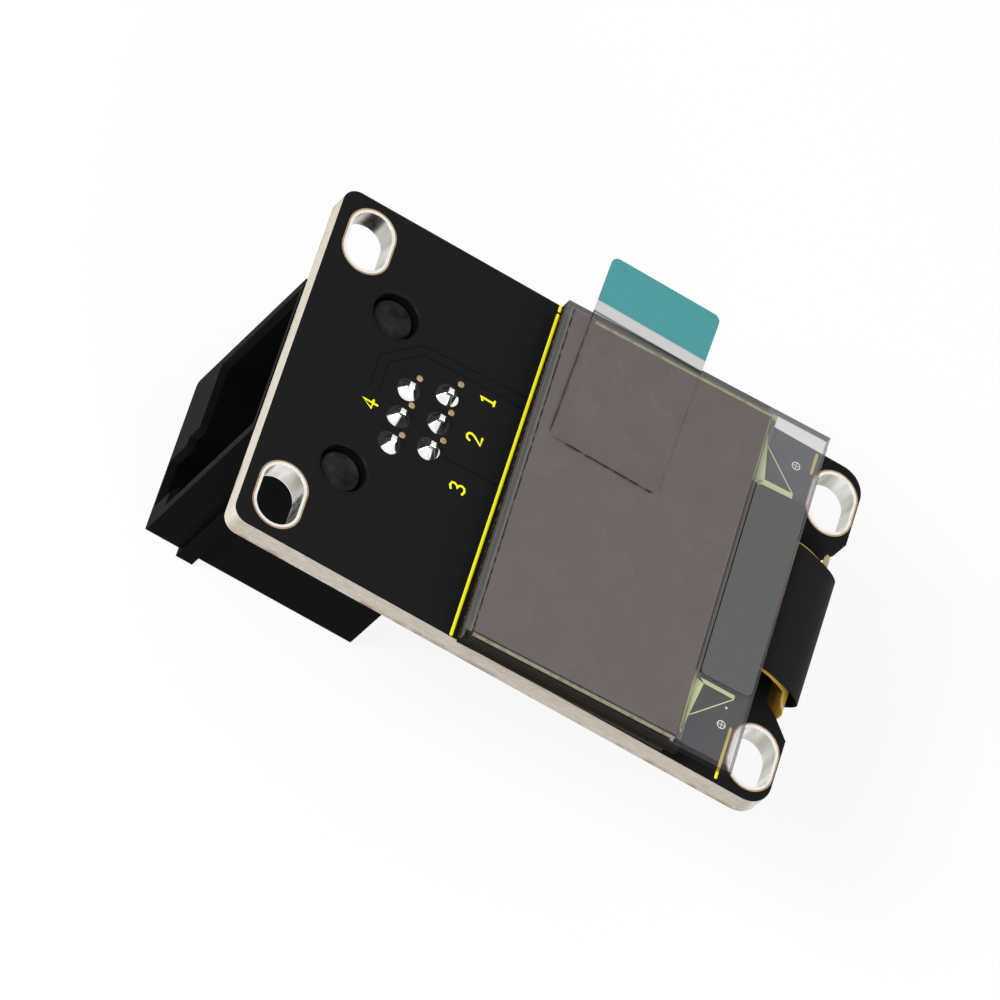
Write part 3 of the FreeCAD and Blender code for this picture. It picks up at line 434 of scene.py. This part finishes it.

# Solder joints: hand-soldered mounds that froze in flat faces round each tail. The faces
# turned to the jack's left corner, and a few more, are painted bright metal, and the rest are
# painted near black and dull: painted reflection and painted shade.
TAIL_PITCH, TAIL_ROWS = 1.07, (11.75, 9.21)
MOUND_RIM, MOUND_HIGH, MOUND_TOP = 0.79, 0.66, 0.60
FACES, SOFT, TONE_SOFT = 7, 0.02, 0.015
solder = Finish("bright_solder", (0.86, 0.86, 0.86), Metallic=1.0, Roughness=0.09,
                Specular_IOR_Level=0.12)
solder_spot, _ = solder.place()
flow = solder.noise(solder_spot, 2.4, 3.0, 0.5)
# Each mound's facet attribute paints its faces bright metal or near black: painted reflection and
# painted shade.
flux = solder.node("ShaderNodeAttribute", {"attribute_name": "flux"}, {}, "Fac")
shiny = solder.blend(flow, (0.80, 0.79, 0.77), (0.97, 0.97, 0.97))
painted_dark_facet = solder.blend(flow, (0.004, 0.004, 0.004), (0.035, 0.033, 0.030))
solder.feed("Base Color", solder.blend(flux, shiny, painted_dark_facet))
solder.feed("Roughness", solder.level(flow, 0.35, 0.7, 0.06, 0.25))
solder.feed("Metallic", 1.0 - flux * 0.9)
solder.bump(flow, 0.35, 0.00008)


def mound(x, y, number):
    """Hill of flat faces over a polar grid: z = -soft(-h_k + g_k (p . n_k)) over seven planes k
    and a nearly flat one, where soft is a log-sum-exp of width SOFT, faded to the board by
    1 - (r / R)^6 at radius R. The shade value of a point is that of its lowest plane: 0 on the
    planes painted bright, those facing the jack's left corner and a few more, and 1 on the
    planes painted dark, as painted reflection and painted shade."""
    dice = np.random.default_rng(20 + number)
    s = np.linspace(0, 1, 40)[:, None]
    a = np.linspace(0, 2 * math.pi, 96, endpoint=False)[None, :]
    rim = MOUND_RIM + 0.05 * np.cos(a - number) + 0.03 * np.cos(3 * a + 2 * number)
    px, py = s * rim * np.cos(a), s * rim * np.sin(a)
    way = np.arange(FACES) * 2 * math.pi / FACES + dice.uniform(-0.25, 0.25, FACES)
    steep = dice.uniform(0.75, 1.15, FACES)[:, None, None]
    across = px * np.cos(way)[:, None, None] + py * np.sin(way)[:, None, None]
    planes = np.concatenate([MOUND_HIGH - steep * across, (MOUND_TOP + 0.04 * px)[None]])
    z = -SOFT * np.log(np.exp(-planes / SOFT).sum(0))
    z = np.clip(z, 0.03, None) * (1 - s ** 6)
    weight = np.exp(-(planes - planes.min(0)) / TONE_SOFT)
    weight /= weight.sum(0)
    # Faces turned towards the jack's left corner, and a few at random, are the ones painted bright.
    lit_facing = (np.cos(way - 2.75) > 0.72) | (dice.uniform(0, 1, FACES) > 0.88)
    lit_planes = np.append(lit_facing, number % 2 == 0)
    tone = 1 - (weight * lit_planes[:, None, None]).sum(0)
    return np.dstack([x + px, y + py, z]), tone


for number in range(1, 7):
    hill, facet_shade_share = mound((number - 3.5) * TAIL_PITCH, TAIL_ROWS[(number - 1) % 2], number)
    blob = sheet_mesh(f"solder_joint_{number}_shown", [hill], solder, closed_u=True)
    found = np.empty(len(blob.data.vertices) * 3)
    blob.data.vertices.foreach_get("co", found)
    near = np.abs(hill.reshape(-1, 1, 3) * MM - found.reshape(1, -1, 3)).sum(2).argmin(0)
    facet_shade_layer = blob.data.attributes.new("flux", "FLOAT", "POINT")
    facet_shade_layer.data.foreach_set("value", facet_shade_share.ravel()[near])
    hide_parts(f"solder_joint_{number}")

# Display's front glass: a clear soda-lime sheet, scribed and broken to size. It lies tilted and
# a little turned on its tape. Its ledge at the flex's end is bare, so the board and the
# background show through it.
SLOPE, SKEW, TOP = 0.0276, math.radians(0.78), np.array([-0.448, -5.679, 1.94])
SHEET_GAP = 0.003
GLASS_SIDE, GLASS_END = 13.335, 9.605
WALL_SIDE, WALL_END, STRIP_SIDE, LEDGE_FROM = 13.3, 9.6, -12.99, -5.0
LIT_BAND_MIDDLE, LIT_BAND_REACH, BAND_FOOT = (-0.05, -5.55), (7.55, 0.25), -5.7


def on_display(points):
    """Points in the display's own frame, in mm, to the part's frame: tilt about X by the
    display's slope, turn about Z by its skew, then shift to the glass's middle."""
    tilt = -math.atan(SLOPE)
    c, s = math.cos(tilt), math.sin(tilt)
    rx = np.array([[1, 0, 0], [0, c, -s], [0, s, c]])
    c, s = math.cos(SKEW), math.sin(SKEW)
    rz = np.array([[c, -s, 0], [s, c, 0], [0, 0, 1]])
    return np.asarray(points, float) @ (rz @ rx).T + TOP


def display_place(place):
    """Where a point is in the display's plane, across (X) and towards the jack (Y), in mm."""
    dx, dy = place[0] - TOP[0], place[1] - TOP[1]
    c, s = math.cos(SKEW), math.sin(SKEW)
    return dx * c + dy * s, dy * c - dx * s


def let_through(finish, tint, share):
    """Sheet seen through: clear shader with the tint, and the finish's own one by share."""
    clear_part = finish.node("ShaderNodeBsdfTransparent", {}, {"Color": tint})
    own_part = Wire(finish, finish.skin.outputs[0])
    both = finish.node("ShaderNodeMixShader", {}, [share, clear_part, own_part])
    finish.tree.links.new(both.socket, finish.tree.nodes["Material Output"].inputs[0])


def gleam(finish, face_on):
    """Schlick's share of light thrown back, the same from both sides of a face:
    f + (1 - f) (1 - cos)^5."""
    slant = finish.node("ShaderNodeLayerWeight", {}, {"Blend": 0.5}, "Facing")
    return slant ** 5.0 * (1.0 - face_on) + face_on


clear = Finish("clear_glass", (0.30, 0.30, 0.285), Roughness=0.02, Specular_IOR_Level=0.0,
               Coat_Roughness=0.02)
clear_spot, clear_parts = clear.place()
gx, gy = display_place(clear_parts)
cut = (abs(gx) > GLASS_SIDE).top(abs(gy) > GLASS_END)
dust = clear.level(clear.noise(clear_spot, 5.0, 5.0, 0.7), 0.4, 0.75)
ground_edge = clear.blend(dust, (0.05, 0.052, 0.048), (0.24, 0.23, 0.20))
ground_edge = clear.blend(-WALL_SIDE > gx, (0.085, 0.083, 0.078), ground_edge)
ground_edge = clear.blend(gy > WALL_END, (0.018, 0.016, 0.012), ground_edge)
# A band of the glass's top along the polariser's foot is painted pale grey and made nearly opaque:
# painted light over the rear glass, which lies in shade there.
lit_band = abs(gy - LIT_BAND_MIDDLE[1]) < LIT_BAND_REACH[1]
lit_band = lit_band * (abs(gx - LIT_BAND_MIDDLE[0]) < LIT_BAND_REACH[0])
glue = clear.blend(dust, (0.125, 0.117, 0.108), (0.150, 0.141, 0.130))
glue = clear.blend(BAND_FOOT > gy, glue, (0.016, 0.014, 0.013))
clear.feed("Base Color", clear.blend(cut, clear.blend(lit_band, (0.42, 0.42, 0.44), glue), ground_edge))
clear.feed("Roughness", cut.top(lit_band) * 0.45 + 0.02)
clear.feed("Coat Weight", 1.0 - cut.top(lit_band))
# On the ledge the glass's own glossy shader gets a share rising from 0.08 to 0.17 towards +X:
# painted reflection.
on_ledge = clear.level(LEDGE_FROM - gy, 0.0, 0.3)
ledge_sheen = clear.level(gx, -8.0, 13.0, 0.08, 0.17) * on_ledge
shown = (gleam(clear, 0.04) + ledge_sheen) * (gx > STRIP_SIDE)
shown = shown.top(cut * 0.6).top((gx > WALL_SIDE) * 0.88)
shown = shown.top((gy > WALL_END) * 0.9).top(lit_band * 0.9)
let_through(clear, (0.935, 0.938, 0.94), shown)
crisp("display_glass", 0.03, 1, clear, clearance=SHEET_GAP)

# Display's rear glass: a second, shorter sheet under the picture area, sealed to the first with
# dark glue. The films on it make it dark, and its walls are smeared with the sealant.
LIT_END, LIT_FOOT, LIT_SIDE, DARK_STRIP = 8.9, -5.2, 12.7, -12.45
FLECK_FROM, SEALED_FROM = 9.58, 9.585
smoke = Finish("dark_rear_glass", (0.135, 0.126, 0.118), Roughness=0.12, Specular_IOR_Level=0.02)
smoke_spot, smoke_parts = smoke.place()
sx, sy = display_place(smoke_parts)
lit = smoke.blend(smoke.noise(smoke_spot, 1.2, 3.0), (0.125, 0.118, 0.110), (0.148, 0.138, 0.129))
fleck = smoke.level(smoke.noise(smoke_spot, 3.5, 5.0, 0.75), 0.52, 0.7) * (sy > FLECK_FROM)
sealed = smoke.blend(fleck, (0.010, 0.008, 0.005), (0.16, 0.12, 0.05))
# Where the rear glass shows round the polariser it is painted lighter, and lightest towards the
# jack: painted light in the shade of the sheets above.
lit_rim = (sy > LIT_END).top(LIT_FOOT > sy).top(abs(sx) > LIT_SIDE)
lit = smoke.blend(lit_rim, lit, (0.27, 0.25, 0.235))
lit = smoke.blend(sy > LIT_END, lit, (0.52, 0.50, 0.46))
lit = smoke.blend(DARK_STRIP > sx, lit, (0.050, 0.047, 0.041))
sealed_wall = (abs(sx) > GLASS_SIDE).top(sy > SEALED_FROM)
smoke.feed("Base Color", smoke.blend(sealed_wall, lit, sealed))
smoke.feed("Roughness", sealed_wall * 0.5 + 0.12)
crisp("rear_glass", 0.02, 1, smoke, clearance=SHEET_GAP)

# Tracks on the ledge: thin metal films etched on the glass's underside run from the picture
# area's corners to the flex, as two open triangles, with a ringed register cross beside each.
UNDER, FILM_THICK = -0.534, 0.006
FINGER_WIDE, CROSS_WIDE, CROSS_HALF, HOOP_WIDE = 0.07, 0.05, 0.27, 0.07
finger = Finish("glass_tracks", (0.74, 0.78, 0.38), Roughness=0.4)
finger_spot, _ = finger.place()
finger.feed("Base Color", finger.blend(finger.noise(finger_spot, 8.0, 2.0), (0.66, 0.70, 0.30),
                                       (0.82, 0.85, 0.46)))


def patch_mesh(name, outlines, finish):
    """Flat shapes on the display: each outline is a ring of n points at two levels of the
    display's frame, joined by the quads (i, i + 1, n + i + 1, n + i) and closed by both rings."""
    verts, faces, base = [], [], 0
    for outline in outlines:
        ring = np.asarray(outline, float)
        count = len(ring)
        levels = [np.column_stack([ring, np.full(count, z)]) for z in (UNDER - FILM_THICK, UNDER)]
        verts.append(on_display(np.vstack(levels)))
        now = np.arange(count) + base
        after = np.roll(now, -1)
        faces += np.stack([now, after, after + count, now + count], 1).tolist()
        faces += [now[::-1].tolist(), (now + count).tolist()]
        base += 2 * count
    faced_piece(name, np.vstack(verts), faces, finish)


def bar(a, b, width):
    """Rectangle of the given width about the line from a to b."""
    a, b = np.array(a, float), np.array(b, float)
    side = np.array([a[1] - b[1], b[0] - a[0]]) / np.linalg.norm(b - a) * width / 2
    return [a - side, b - side, b + side, a + side]


fingers = [
    [(11.85, -5.72), (8.38, -6.38), (7.13, -5.76)],
    [(7.2, -5.82), (8.17, -6.0), (8.39, -6.4), (8.42, -8.46), (8.03, -8.49), (7.96, -6.44)],
    bar((10.9, -5.9), (8.37, -8.46), FINGER_WIDE),
    [(-7.68, -5.84), (-7.86, -6.38), (-10.41, -6.03), (-12.01, -5.83), (-11.8, -5.72)],
    [(-7.52, -6.03), (-7.58, -8.58), (-7.87, -8.57), (-7.82, -6.37)],
    bar((-7.87, -8.57), (-10.44, -6.07), FINGER_WIDE),
    [(13.06, -5.46), (12.95, -5.66), (6.06, -5.70), (6.06, -5.49)],
    [(-5.4, -5.56), (-5.41, -5.74), (-11.66, -5.92), (-11.7, -5.67)],
    [(13.26, -5.52), (13.27, -6.05), (12.85, -5.97), (12.86, -5.56)],
    [(-12.37, -5.19), (-12.29, -5.58), (-12.85, -5.51), (-12.83, -5.32)],
]
patch_mesh("ledge_tracks", fingers, finger)
mark = Finish("register_marks", (0.85, 0.86, 0.80), Roughness=0.4)
mark_spot, _ = mark.place()
mark.feed("Base Color", mark.blend(mark.noise(mark_spot, 8.0, 2.0), (0.80, 0.80, 0.74),
                                   (0.92, 0.92, 0.88)))
crosses = [(10.5, -8.13), (-10.0, -8.25)]
arms = [bar((x - CROSS_HALF, y), (x + CROSS_HALF, y), CROSS_WIDE) for x, y in crosses]
arms += [bar((x, y - CROSS_HALF), (x, y + CROSS_HALF), CROSS_WIDE) for x, y in crosses]
patch_mesh("register_crosses", arms, mark)


def hoop(x, y, radius, width):
    """Flat ring under the glass, in the display's frame: a low arch swept round a circle."""
    t = np.linspace(0, 1, 4)
    heights = UNDER - 0.008 + 0.01 * np.sin(math.pi * t)
    return on_display(turned(x, y, radius + width * (t - 0.5), heights))


hoops = [hoop(x, y, CROSS_HALF, HOOP_WIDE) for x, y in crosses]
hoops.append(hoop(-8.7, -8.26, 0.05, 0.08))
sheet_mesh("register_rings", hoops, mark, closed_u=True)

# Polariser: a grey-brown plastic sheet, glued on the front glass over the picture area. Its
# edge towards the jack is darkened in broken patches, and worn metal tracks of the glass
# show through along both sides.
RIM_FROM, RAGGED_X, STRIP_X = 9.13, -12.9, -12.93
TRACK_X, TRACK_HALF, TRACK_END = 12.55, 0.1, 7.6
polar = Finish("polariser_film", (0.155, 0.134, 0.126), Roughness=0.3, Specular_IOR_Level=0.25)
polar_spot, polar_parts = polar.place()
qx, qy = display_place(polar_parts)
haze = polar.noise(polar_spot, 0.35, 3.0, 0.5)
speck = polar.noise(polar_spot, 4.0, 3.0, 0.6)
tone = polar.blend(haze, (0.115, 0.096, 0.091), (0.136, 0.113, 0.107))
tone = polar.blend(polar.level(speck, 0.3, 0.7, 0.0, 0.35), tone, (0.138, 0.119, 0.112))
broken = polar.level(polar.noise(polar_spot, 2.4, 3.0, 0.6), 0.40, 0.52, 0.25, 1.0)
side_track = (abs(qx - TRACK_X) < TRACK_HALF) * (TRACK_END > qy)
worn = polar.level(polar.noise(polar_spot, 1.4, 3.0, 0.6), 0.36, 0.5, 0.25, 0.85)
tone = polar.blend(side_track * worn, tone, (0.36, 0.36, 0.20))
strip_tone = polar.blend(worn, (0.13, 0.12, 0.09), (0.27, 0.26, 0.17))
tone = polar.blend(STRIP_X > qx, tone, strip_tone)
ragged = polar.noise(polar_spot, 3.0, 4.0, 0.8) * 0.12 + 0.01
rim_dark = ((qy > RIM_FROM) * broken).top((abs(qx - RAGGED_X) < ragged) * 0.92)
polar.feed("Base Color", polar.blend(rim_dark, tone, (0.018, 0.015, 0.014)))
polar.feed("Roughness", polar.level(haze, 0.3, 0.7, 0.18, 0.3))
crisp("polariser", 0.02, 1, polar, clearance=SHEET_GAP)

# Protective film: a clear sheet that the factory lays over the polariser. It clings by itself,
# and only its gloss and a few soft scuffs show.
FILM_END, FILM_FOOT, FILM_RIGHT, FILM_LEFT = 9.075, -5.215, 12.645, -12.985
film = Finish("clear_film", (0.8, 0.8, 0.82), Roughness=0.12)
film_spot, film_parts = film.place()
fx, fy = display_place(film_parts)
scuff = film.level(film.noise(film_spot, 0.8, 3.0, 0.5), 0.4, 0.8, 0.0, 0.05)
film.feed("Base Color", film.blend(film.noise(film_spot, 2.0), (0.26, 0.25, 0.25),
                                   (0.36, 0.35, 0.35)))
film_side = (fy > FILM_END).top(FILM_FOOT > fy).top(fx > FILM_RIGHT).top(FILM_LEFT > fx)
let_through(film, (0.98, 0.98, 0.98), (gleam(film, 0.0) + scuff) * (1.0 - film_side))
crisp("protective_film", 0.0, 1, film, clearance=SHEET_GAP)

# Pull tab: one strip of film, clear where it is stuck to the protective film and printed
# blue-green on the free end that is held to peel it off. It lies slanted on the display.
TAB_SLANT, TAB_MIDDLE = 0.0419, (17.8, 7.8)
TAB_PRINT, GLASS_RIM, TAB_INNER = 14.15, 13.3, 3.07
TAB_HIGH, TAB_LOW, VEIL_FROM = 7.75, -0.16, 13.0
tab = Finish("printed_tab", (0.064, 0.292, 0.301), Roughness=0.4, Specular_IOR_Level=0.25)
tab_spot, tab_parts = tab.place()
along, across = display_place(tab_parts)
across = across - (TAB_MIDDLE[0] - along) * TAB_SLANT
along = along + (TAB_MIDDLE[1] - across) * TAB_SLANT
printed = along > TAB_PRINT
on_glass = GLASS_RIM > along
inner_end = (TAB_INNER > along) * on_glass
side_line = (across > TAB_HIGH) * on_glass + (TAB_LOW > across) * on_glass * 0.2
gap = tab.level(tab.noise(tab_spot, 2.2, 2.0), 0.42, 0.5)
edge_line = inner_end * (0.15 + gap * 0.75) + side_line * (0.3 + gap * 0.4)
tab_ink = tab.blend(tab.noise(tab_spot, 3.0, 2.0), (0.053, 0.258, 0.266), (0.064, 0.280, 0.288))
tab_clear = tab.blend(on_glass, (0.56, 0.565, 0.56), (0.010, 0.006, 0.008))
tab.feed("Base Color", tab.blend(printed, tab_clear, tab_ink))
veil = tab.level(along, VEIL_FROM, GLASS_RIM, 0.0, 0.72)
let_through(tab, (1.0, 1.0, 1.0), tab.level(printed + edge_line + veil * (1 - printed), 0.0, 1.0))
crisp("pull_tab", 0.0, 1, tab, clearance=SHEET_GAP)

# Dark patch: a thin dark grey film with a light grain, stuck on the ledge over the driver's
# area to keep light off the chip.
patch = Finish("dark_patch", (0.09, 0.09, 0.088), Roughness=0.4, Specular_IOR_Level=0.25)
patch_spot, _ = patch.place()
patch_grain = patch.noise(patch_spot, 4.0, 5.0, 0.6)
patch.feed("Base Color", patch.blend(patch_grain, (0.080, 0.080, 0.079), (0.102, 0.102, 0.100)))
patch.bump(patch_grain, 0.2, 0.00005)
crisp("ledge_patch", 0.03, 2, patch, clearance=SHEET_GAP)

# Driver chip: a bare sliver of silicon, bonded face up under the ledge, so that its ground
# grey back looks at the board.
silicon = Finish("chip_back", (0.05, 0.05, 0.055), Roughness=0.3, Metallic=0.3)
silicon_spot, _ = silicon.place()
silicon.feed("Base Color", silicon.blend(silicon.noise(silicon_spot, 5.0), (0.04, 0.04, 0.045),
                                         (0.07, 0.07, 0.078)))
crisp("driver_chip", 0.02, 1, silicon)

# Mounting tape: a pad of dark double-sided foam that holds the rear glass on the board, with
# open cells at its cut sides.
foam = Finish("foam_tape", (0.02, 0.017, 0.015), Roughness=0.85, Specular_IOR_Level=0.2)
foam_spot, _ = foam.place()
cells = foam.noise(foam_spot, 12.0, 4.0, 0.7)
foam.feed("Base Color", foam.blend(cells, (0.010, 0.009, 0.008), (0.035, 0.03, 0.027)))
foam.bump(cells, 0.6, 0.00012)
crisp("mounting_tape", 0.0, 1, foam)

# Flex: an amber polyimide base with a satin black cover film. It is bonded to the ledge, folded
# round the board's end in its notch and soldered to the back.
FOLD_ANGLE = 40
amber = Finish("amber_film", (0.50, 0.29, 0.03), Roughness=0.28, Specular_IOR_Level=0.5)
amber_spot, _ = amber.place()
amber.feed("Base Color", amber.blend(amber.noise(amber_spot, 1.5, 3.0), (0.36, 0.20, 0.02),
                                     (0.62, 0.38, 0.05)))
crisp("flex_base", 0.0, 1, amber, angle=FOLD_ANGLE)
cover = Finish("black_cover", (0.008, 0.008, 0.0082), Roughness=0.5, Specular_IOR_Level=0.06)
cover_spot, _ = cover.place()
cover_grain = cover.noise(cover_spot, 6.0, 4.0)
cover.feed("Base Color", cover.blend(cover_grain, (0.0045, 0.0045, 0.0047),
                                     (0.0085, 0.0085, 0.0088)))
cover.bump(cover_grain, 0.15, 0.00005)
crisp("flex_cover", 0.0, 1, cover, angle=FOLD_ANGLE)

# Soldered bar: thirty tinned pads along the open strip of the flex, each with a low bead of
# solder that wicked over it.
PAD_COUNT, PAD_PITCH, PAD_FIRST = 30, 0.7, (-10.2, -11.78, -1.678)
PAD_LONG, PAD_WIDE, PAD_HIGH = 1.0, 0.36, 0.07
bead = Finish("pad_solder", (0.80, 0.80, 0.79), Metallic=1.0, Roughness=0.25)
bead_spot, _ = bead.place()
bead_flow = bead.noise(bead_spot, 3.0, 3.0)
bead.feed("Base Color", bead.blend(bead_flow, (0.66, 0.65, 0.62), (0.90, 0.90, 0.89)))
bead.feed("Roughness", bead.level(bead_flow, 0.3, 0.7, 0.18, 0.38))


def pad(number):
    """Rounded pad whose height falls as (1 - u^4)(1 - v^4) from its middle, hung below z = base."""
    x, y, base = PAD_FIRST
    u, v = np.meshgrid(np.linspace(-1, 1, 9), np.linspace(-1, 1, 13))
    z = base - PAD_HIGH * (1 - u ** 4) * (1 - v ** 4)
    return np.dstack([x + PAD_PITCH * number + u * PAD_WIDE / 2, y + v * PAD_LONG / 2, z])


sheet_mesh("flex_pads", [pad(number) for number in range(PAD_COUNT)], bead, flip=True)

# Back side: ceramic capacitors, coated resistors and a moulded regulator, all with tinned
# ends. They are reflow-soldered beside the bar, some along X and some along Y.
ROW_Y, CAPACITOR_X, RESISTOR_X, REGULATOR_Y = -6.9, 7.6, -8.9, -5.6
CHIP_BODY, REGULATOR_BODY = 0.46, 0.68
TAN = (0.32, 0.20, 0.10), (0.44, 0.29, 0.16), 0.5
SLATE = (0.02, 0.02, 0.024), (0.045, 0.045, 0.05), 0.35
EPOXY = (0.012, 0.012, 0.012), (0.02, 0.02, 0.02), 0.45


def with_ends(name, first, second, rough, axis, middle, body):
    """A body of two mixed colours, tinned where it is further than body from its middle
    along the axis."""
    made = Finish(name, first, Roughness=rough)
    place, parts = made.place()
    ends = abs(parts[axis] - middle) > body
    tone = made.blend(made.noise(place, 6.0, 3.0), first, second)
    made.feed("Base Color", made.blend(ends, tone, (0.78, 0.77, 0.74)))
    made.feed("Metallic", ends * 1.0)
    made.feed("Roughness", ends * (0.3 - rough) + rough)
    return made


tan_up = with_ends("capacitor_ceramic", *TAN, 1, ROW_Y, CHIP_BODY)
tan_flat = with_ends("capacitor_ceramic_flat", *TAN, 0, CAPACITOR_X, CHIP_BODY)
slate_up = with_ends("resistor_coating", *SLATE, 1, ROW_Y, CHIP_BODY)
slate_flat = with_ends("resistor_coating_flat", *SLATE, 0, RESISTOR_X, CHIP_BODY)
for number in range(1, 5):
    crisp(f"capacitor_{number}", 0.04, 2, tan_flat if number < 3 else tan_up)
    crisp(f"resistor_{number}", 0.03, 2, slate_flat if number == 4 else slate_up)
epoxy = with_ends("regulator_epoxy", *EPOXY, 1, REGULATOR_Y, REGULATOR_BODY)
crisp("regulator", 0.03, 2, epoxy)

# Stage: a plain white floor under the jack, a large soft lamp over the jack's corner, a weaker
# one opposite, and the photograph's view of the board. All of it is in metres.
FLOOR, FAR = -0.0169, 3
corners = [(-FAR, -FAR, FLOOR), (FAR, -FAR, FLOOR), (FAR, FAR, FLOOR), (-FAR, FAR, FLOOR)]
floor_mesh = bpy.data.meshes.new("floor")
floor_mesh.from_pydata(corners, [], [(0, 1, 2, 3)])
floor = bpy.data.objects.new("floor", floor_mesh)
bpy.context.scene.collection.objects.link(floor)


def background_rays(net):
    """1 for the rays that show the background: from the camera, off gloss or through glass."""
    path = net.node("ShaderNodeLightPath", {}, {}, "Is Camera Ray")
    return path + path.beside("Is Glossy Ray") + path.beside("Is Transmission Ray")


ground = Finish("white_floor", (0.9, 0.9, 0.9), Roughness=0.9, Specular_IOR_Level=0.0)
white = ground.level(background_rays(ground), 0.0, 1.0, 0.0, 0.88)
glow = ground.node("ShaderNodeEmission", {}, {"Color": (1.0, 1.0, 1.0), "Strength": 1.0})
lit_floor = Wire(ground, ground.skin.outputs[0])
ground_mix = ground.node("ShaderNodeMixShader", {}, [white, lit_floor, glow])
ground.tree.links.new(ground_mix.socket, ground.tree.nodes["Material Output"].inputs[0])
floor_mesh.materials.append(ground.material)

world = bpy.data.worlds.new("studio")
bpy.context.scene.world = world
world.use_nodes = True
sky = Net(world.node_tree)
sky_light = sky.tree.nodes["Background"].inputs
sky_light["Color"].default_value = (1.0, 1.0, 1.0, 1.0)
sky_share = sky.level(background_rays(sky), 0.0, 1.0, 0.5, 1.0)
sky.tree.links.new(sky_share.socket, sky_light["Strength"])


def lamp(name, place, size, power):
    """Round soft lamp that faces the part."""
    light = bpy.data.lights.new(name, "AREA")
    light.shape, light.size, light.energy = "DISK", size, power
    made = bpy.data.objects.new(name, light)
    bpy.context.scene.collection.objects.link(made)
    made.location = place
    made.rotation_euler = (-made.location).to_track_quat("-Z", "Y").to_euler()


lamp("key", (-0.20, 0.38, 0.36), 0.22, 2.7)
lamp("fill", (-0.45, -0.25, 0.25), 0.3, 1.1)

camera = bpy.data.cameras.new("camera")
camera.sensor_width, camera.lens = 36.0, 365.43
camera.clip_start, camera.clip_end = 0.05, 10.0
eye = bpy.data.objects.new("camera", camera)
bpy.context.scene.collection.objects.link(eye)
eye.location = (-0.365873, 0.165157, 0.489451)
eye.rotation_euler = tuple(math.radians(a) for a in (28.40434, -28.0816, -72.90568))
bpy.context.scene.camera = eye
bpy.context.scene.view_settings.view_transform = "Standard"
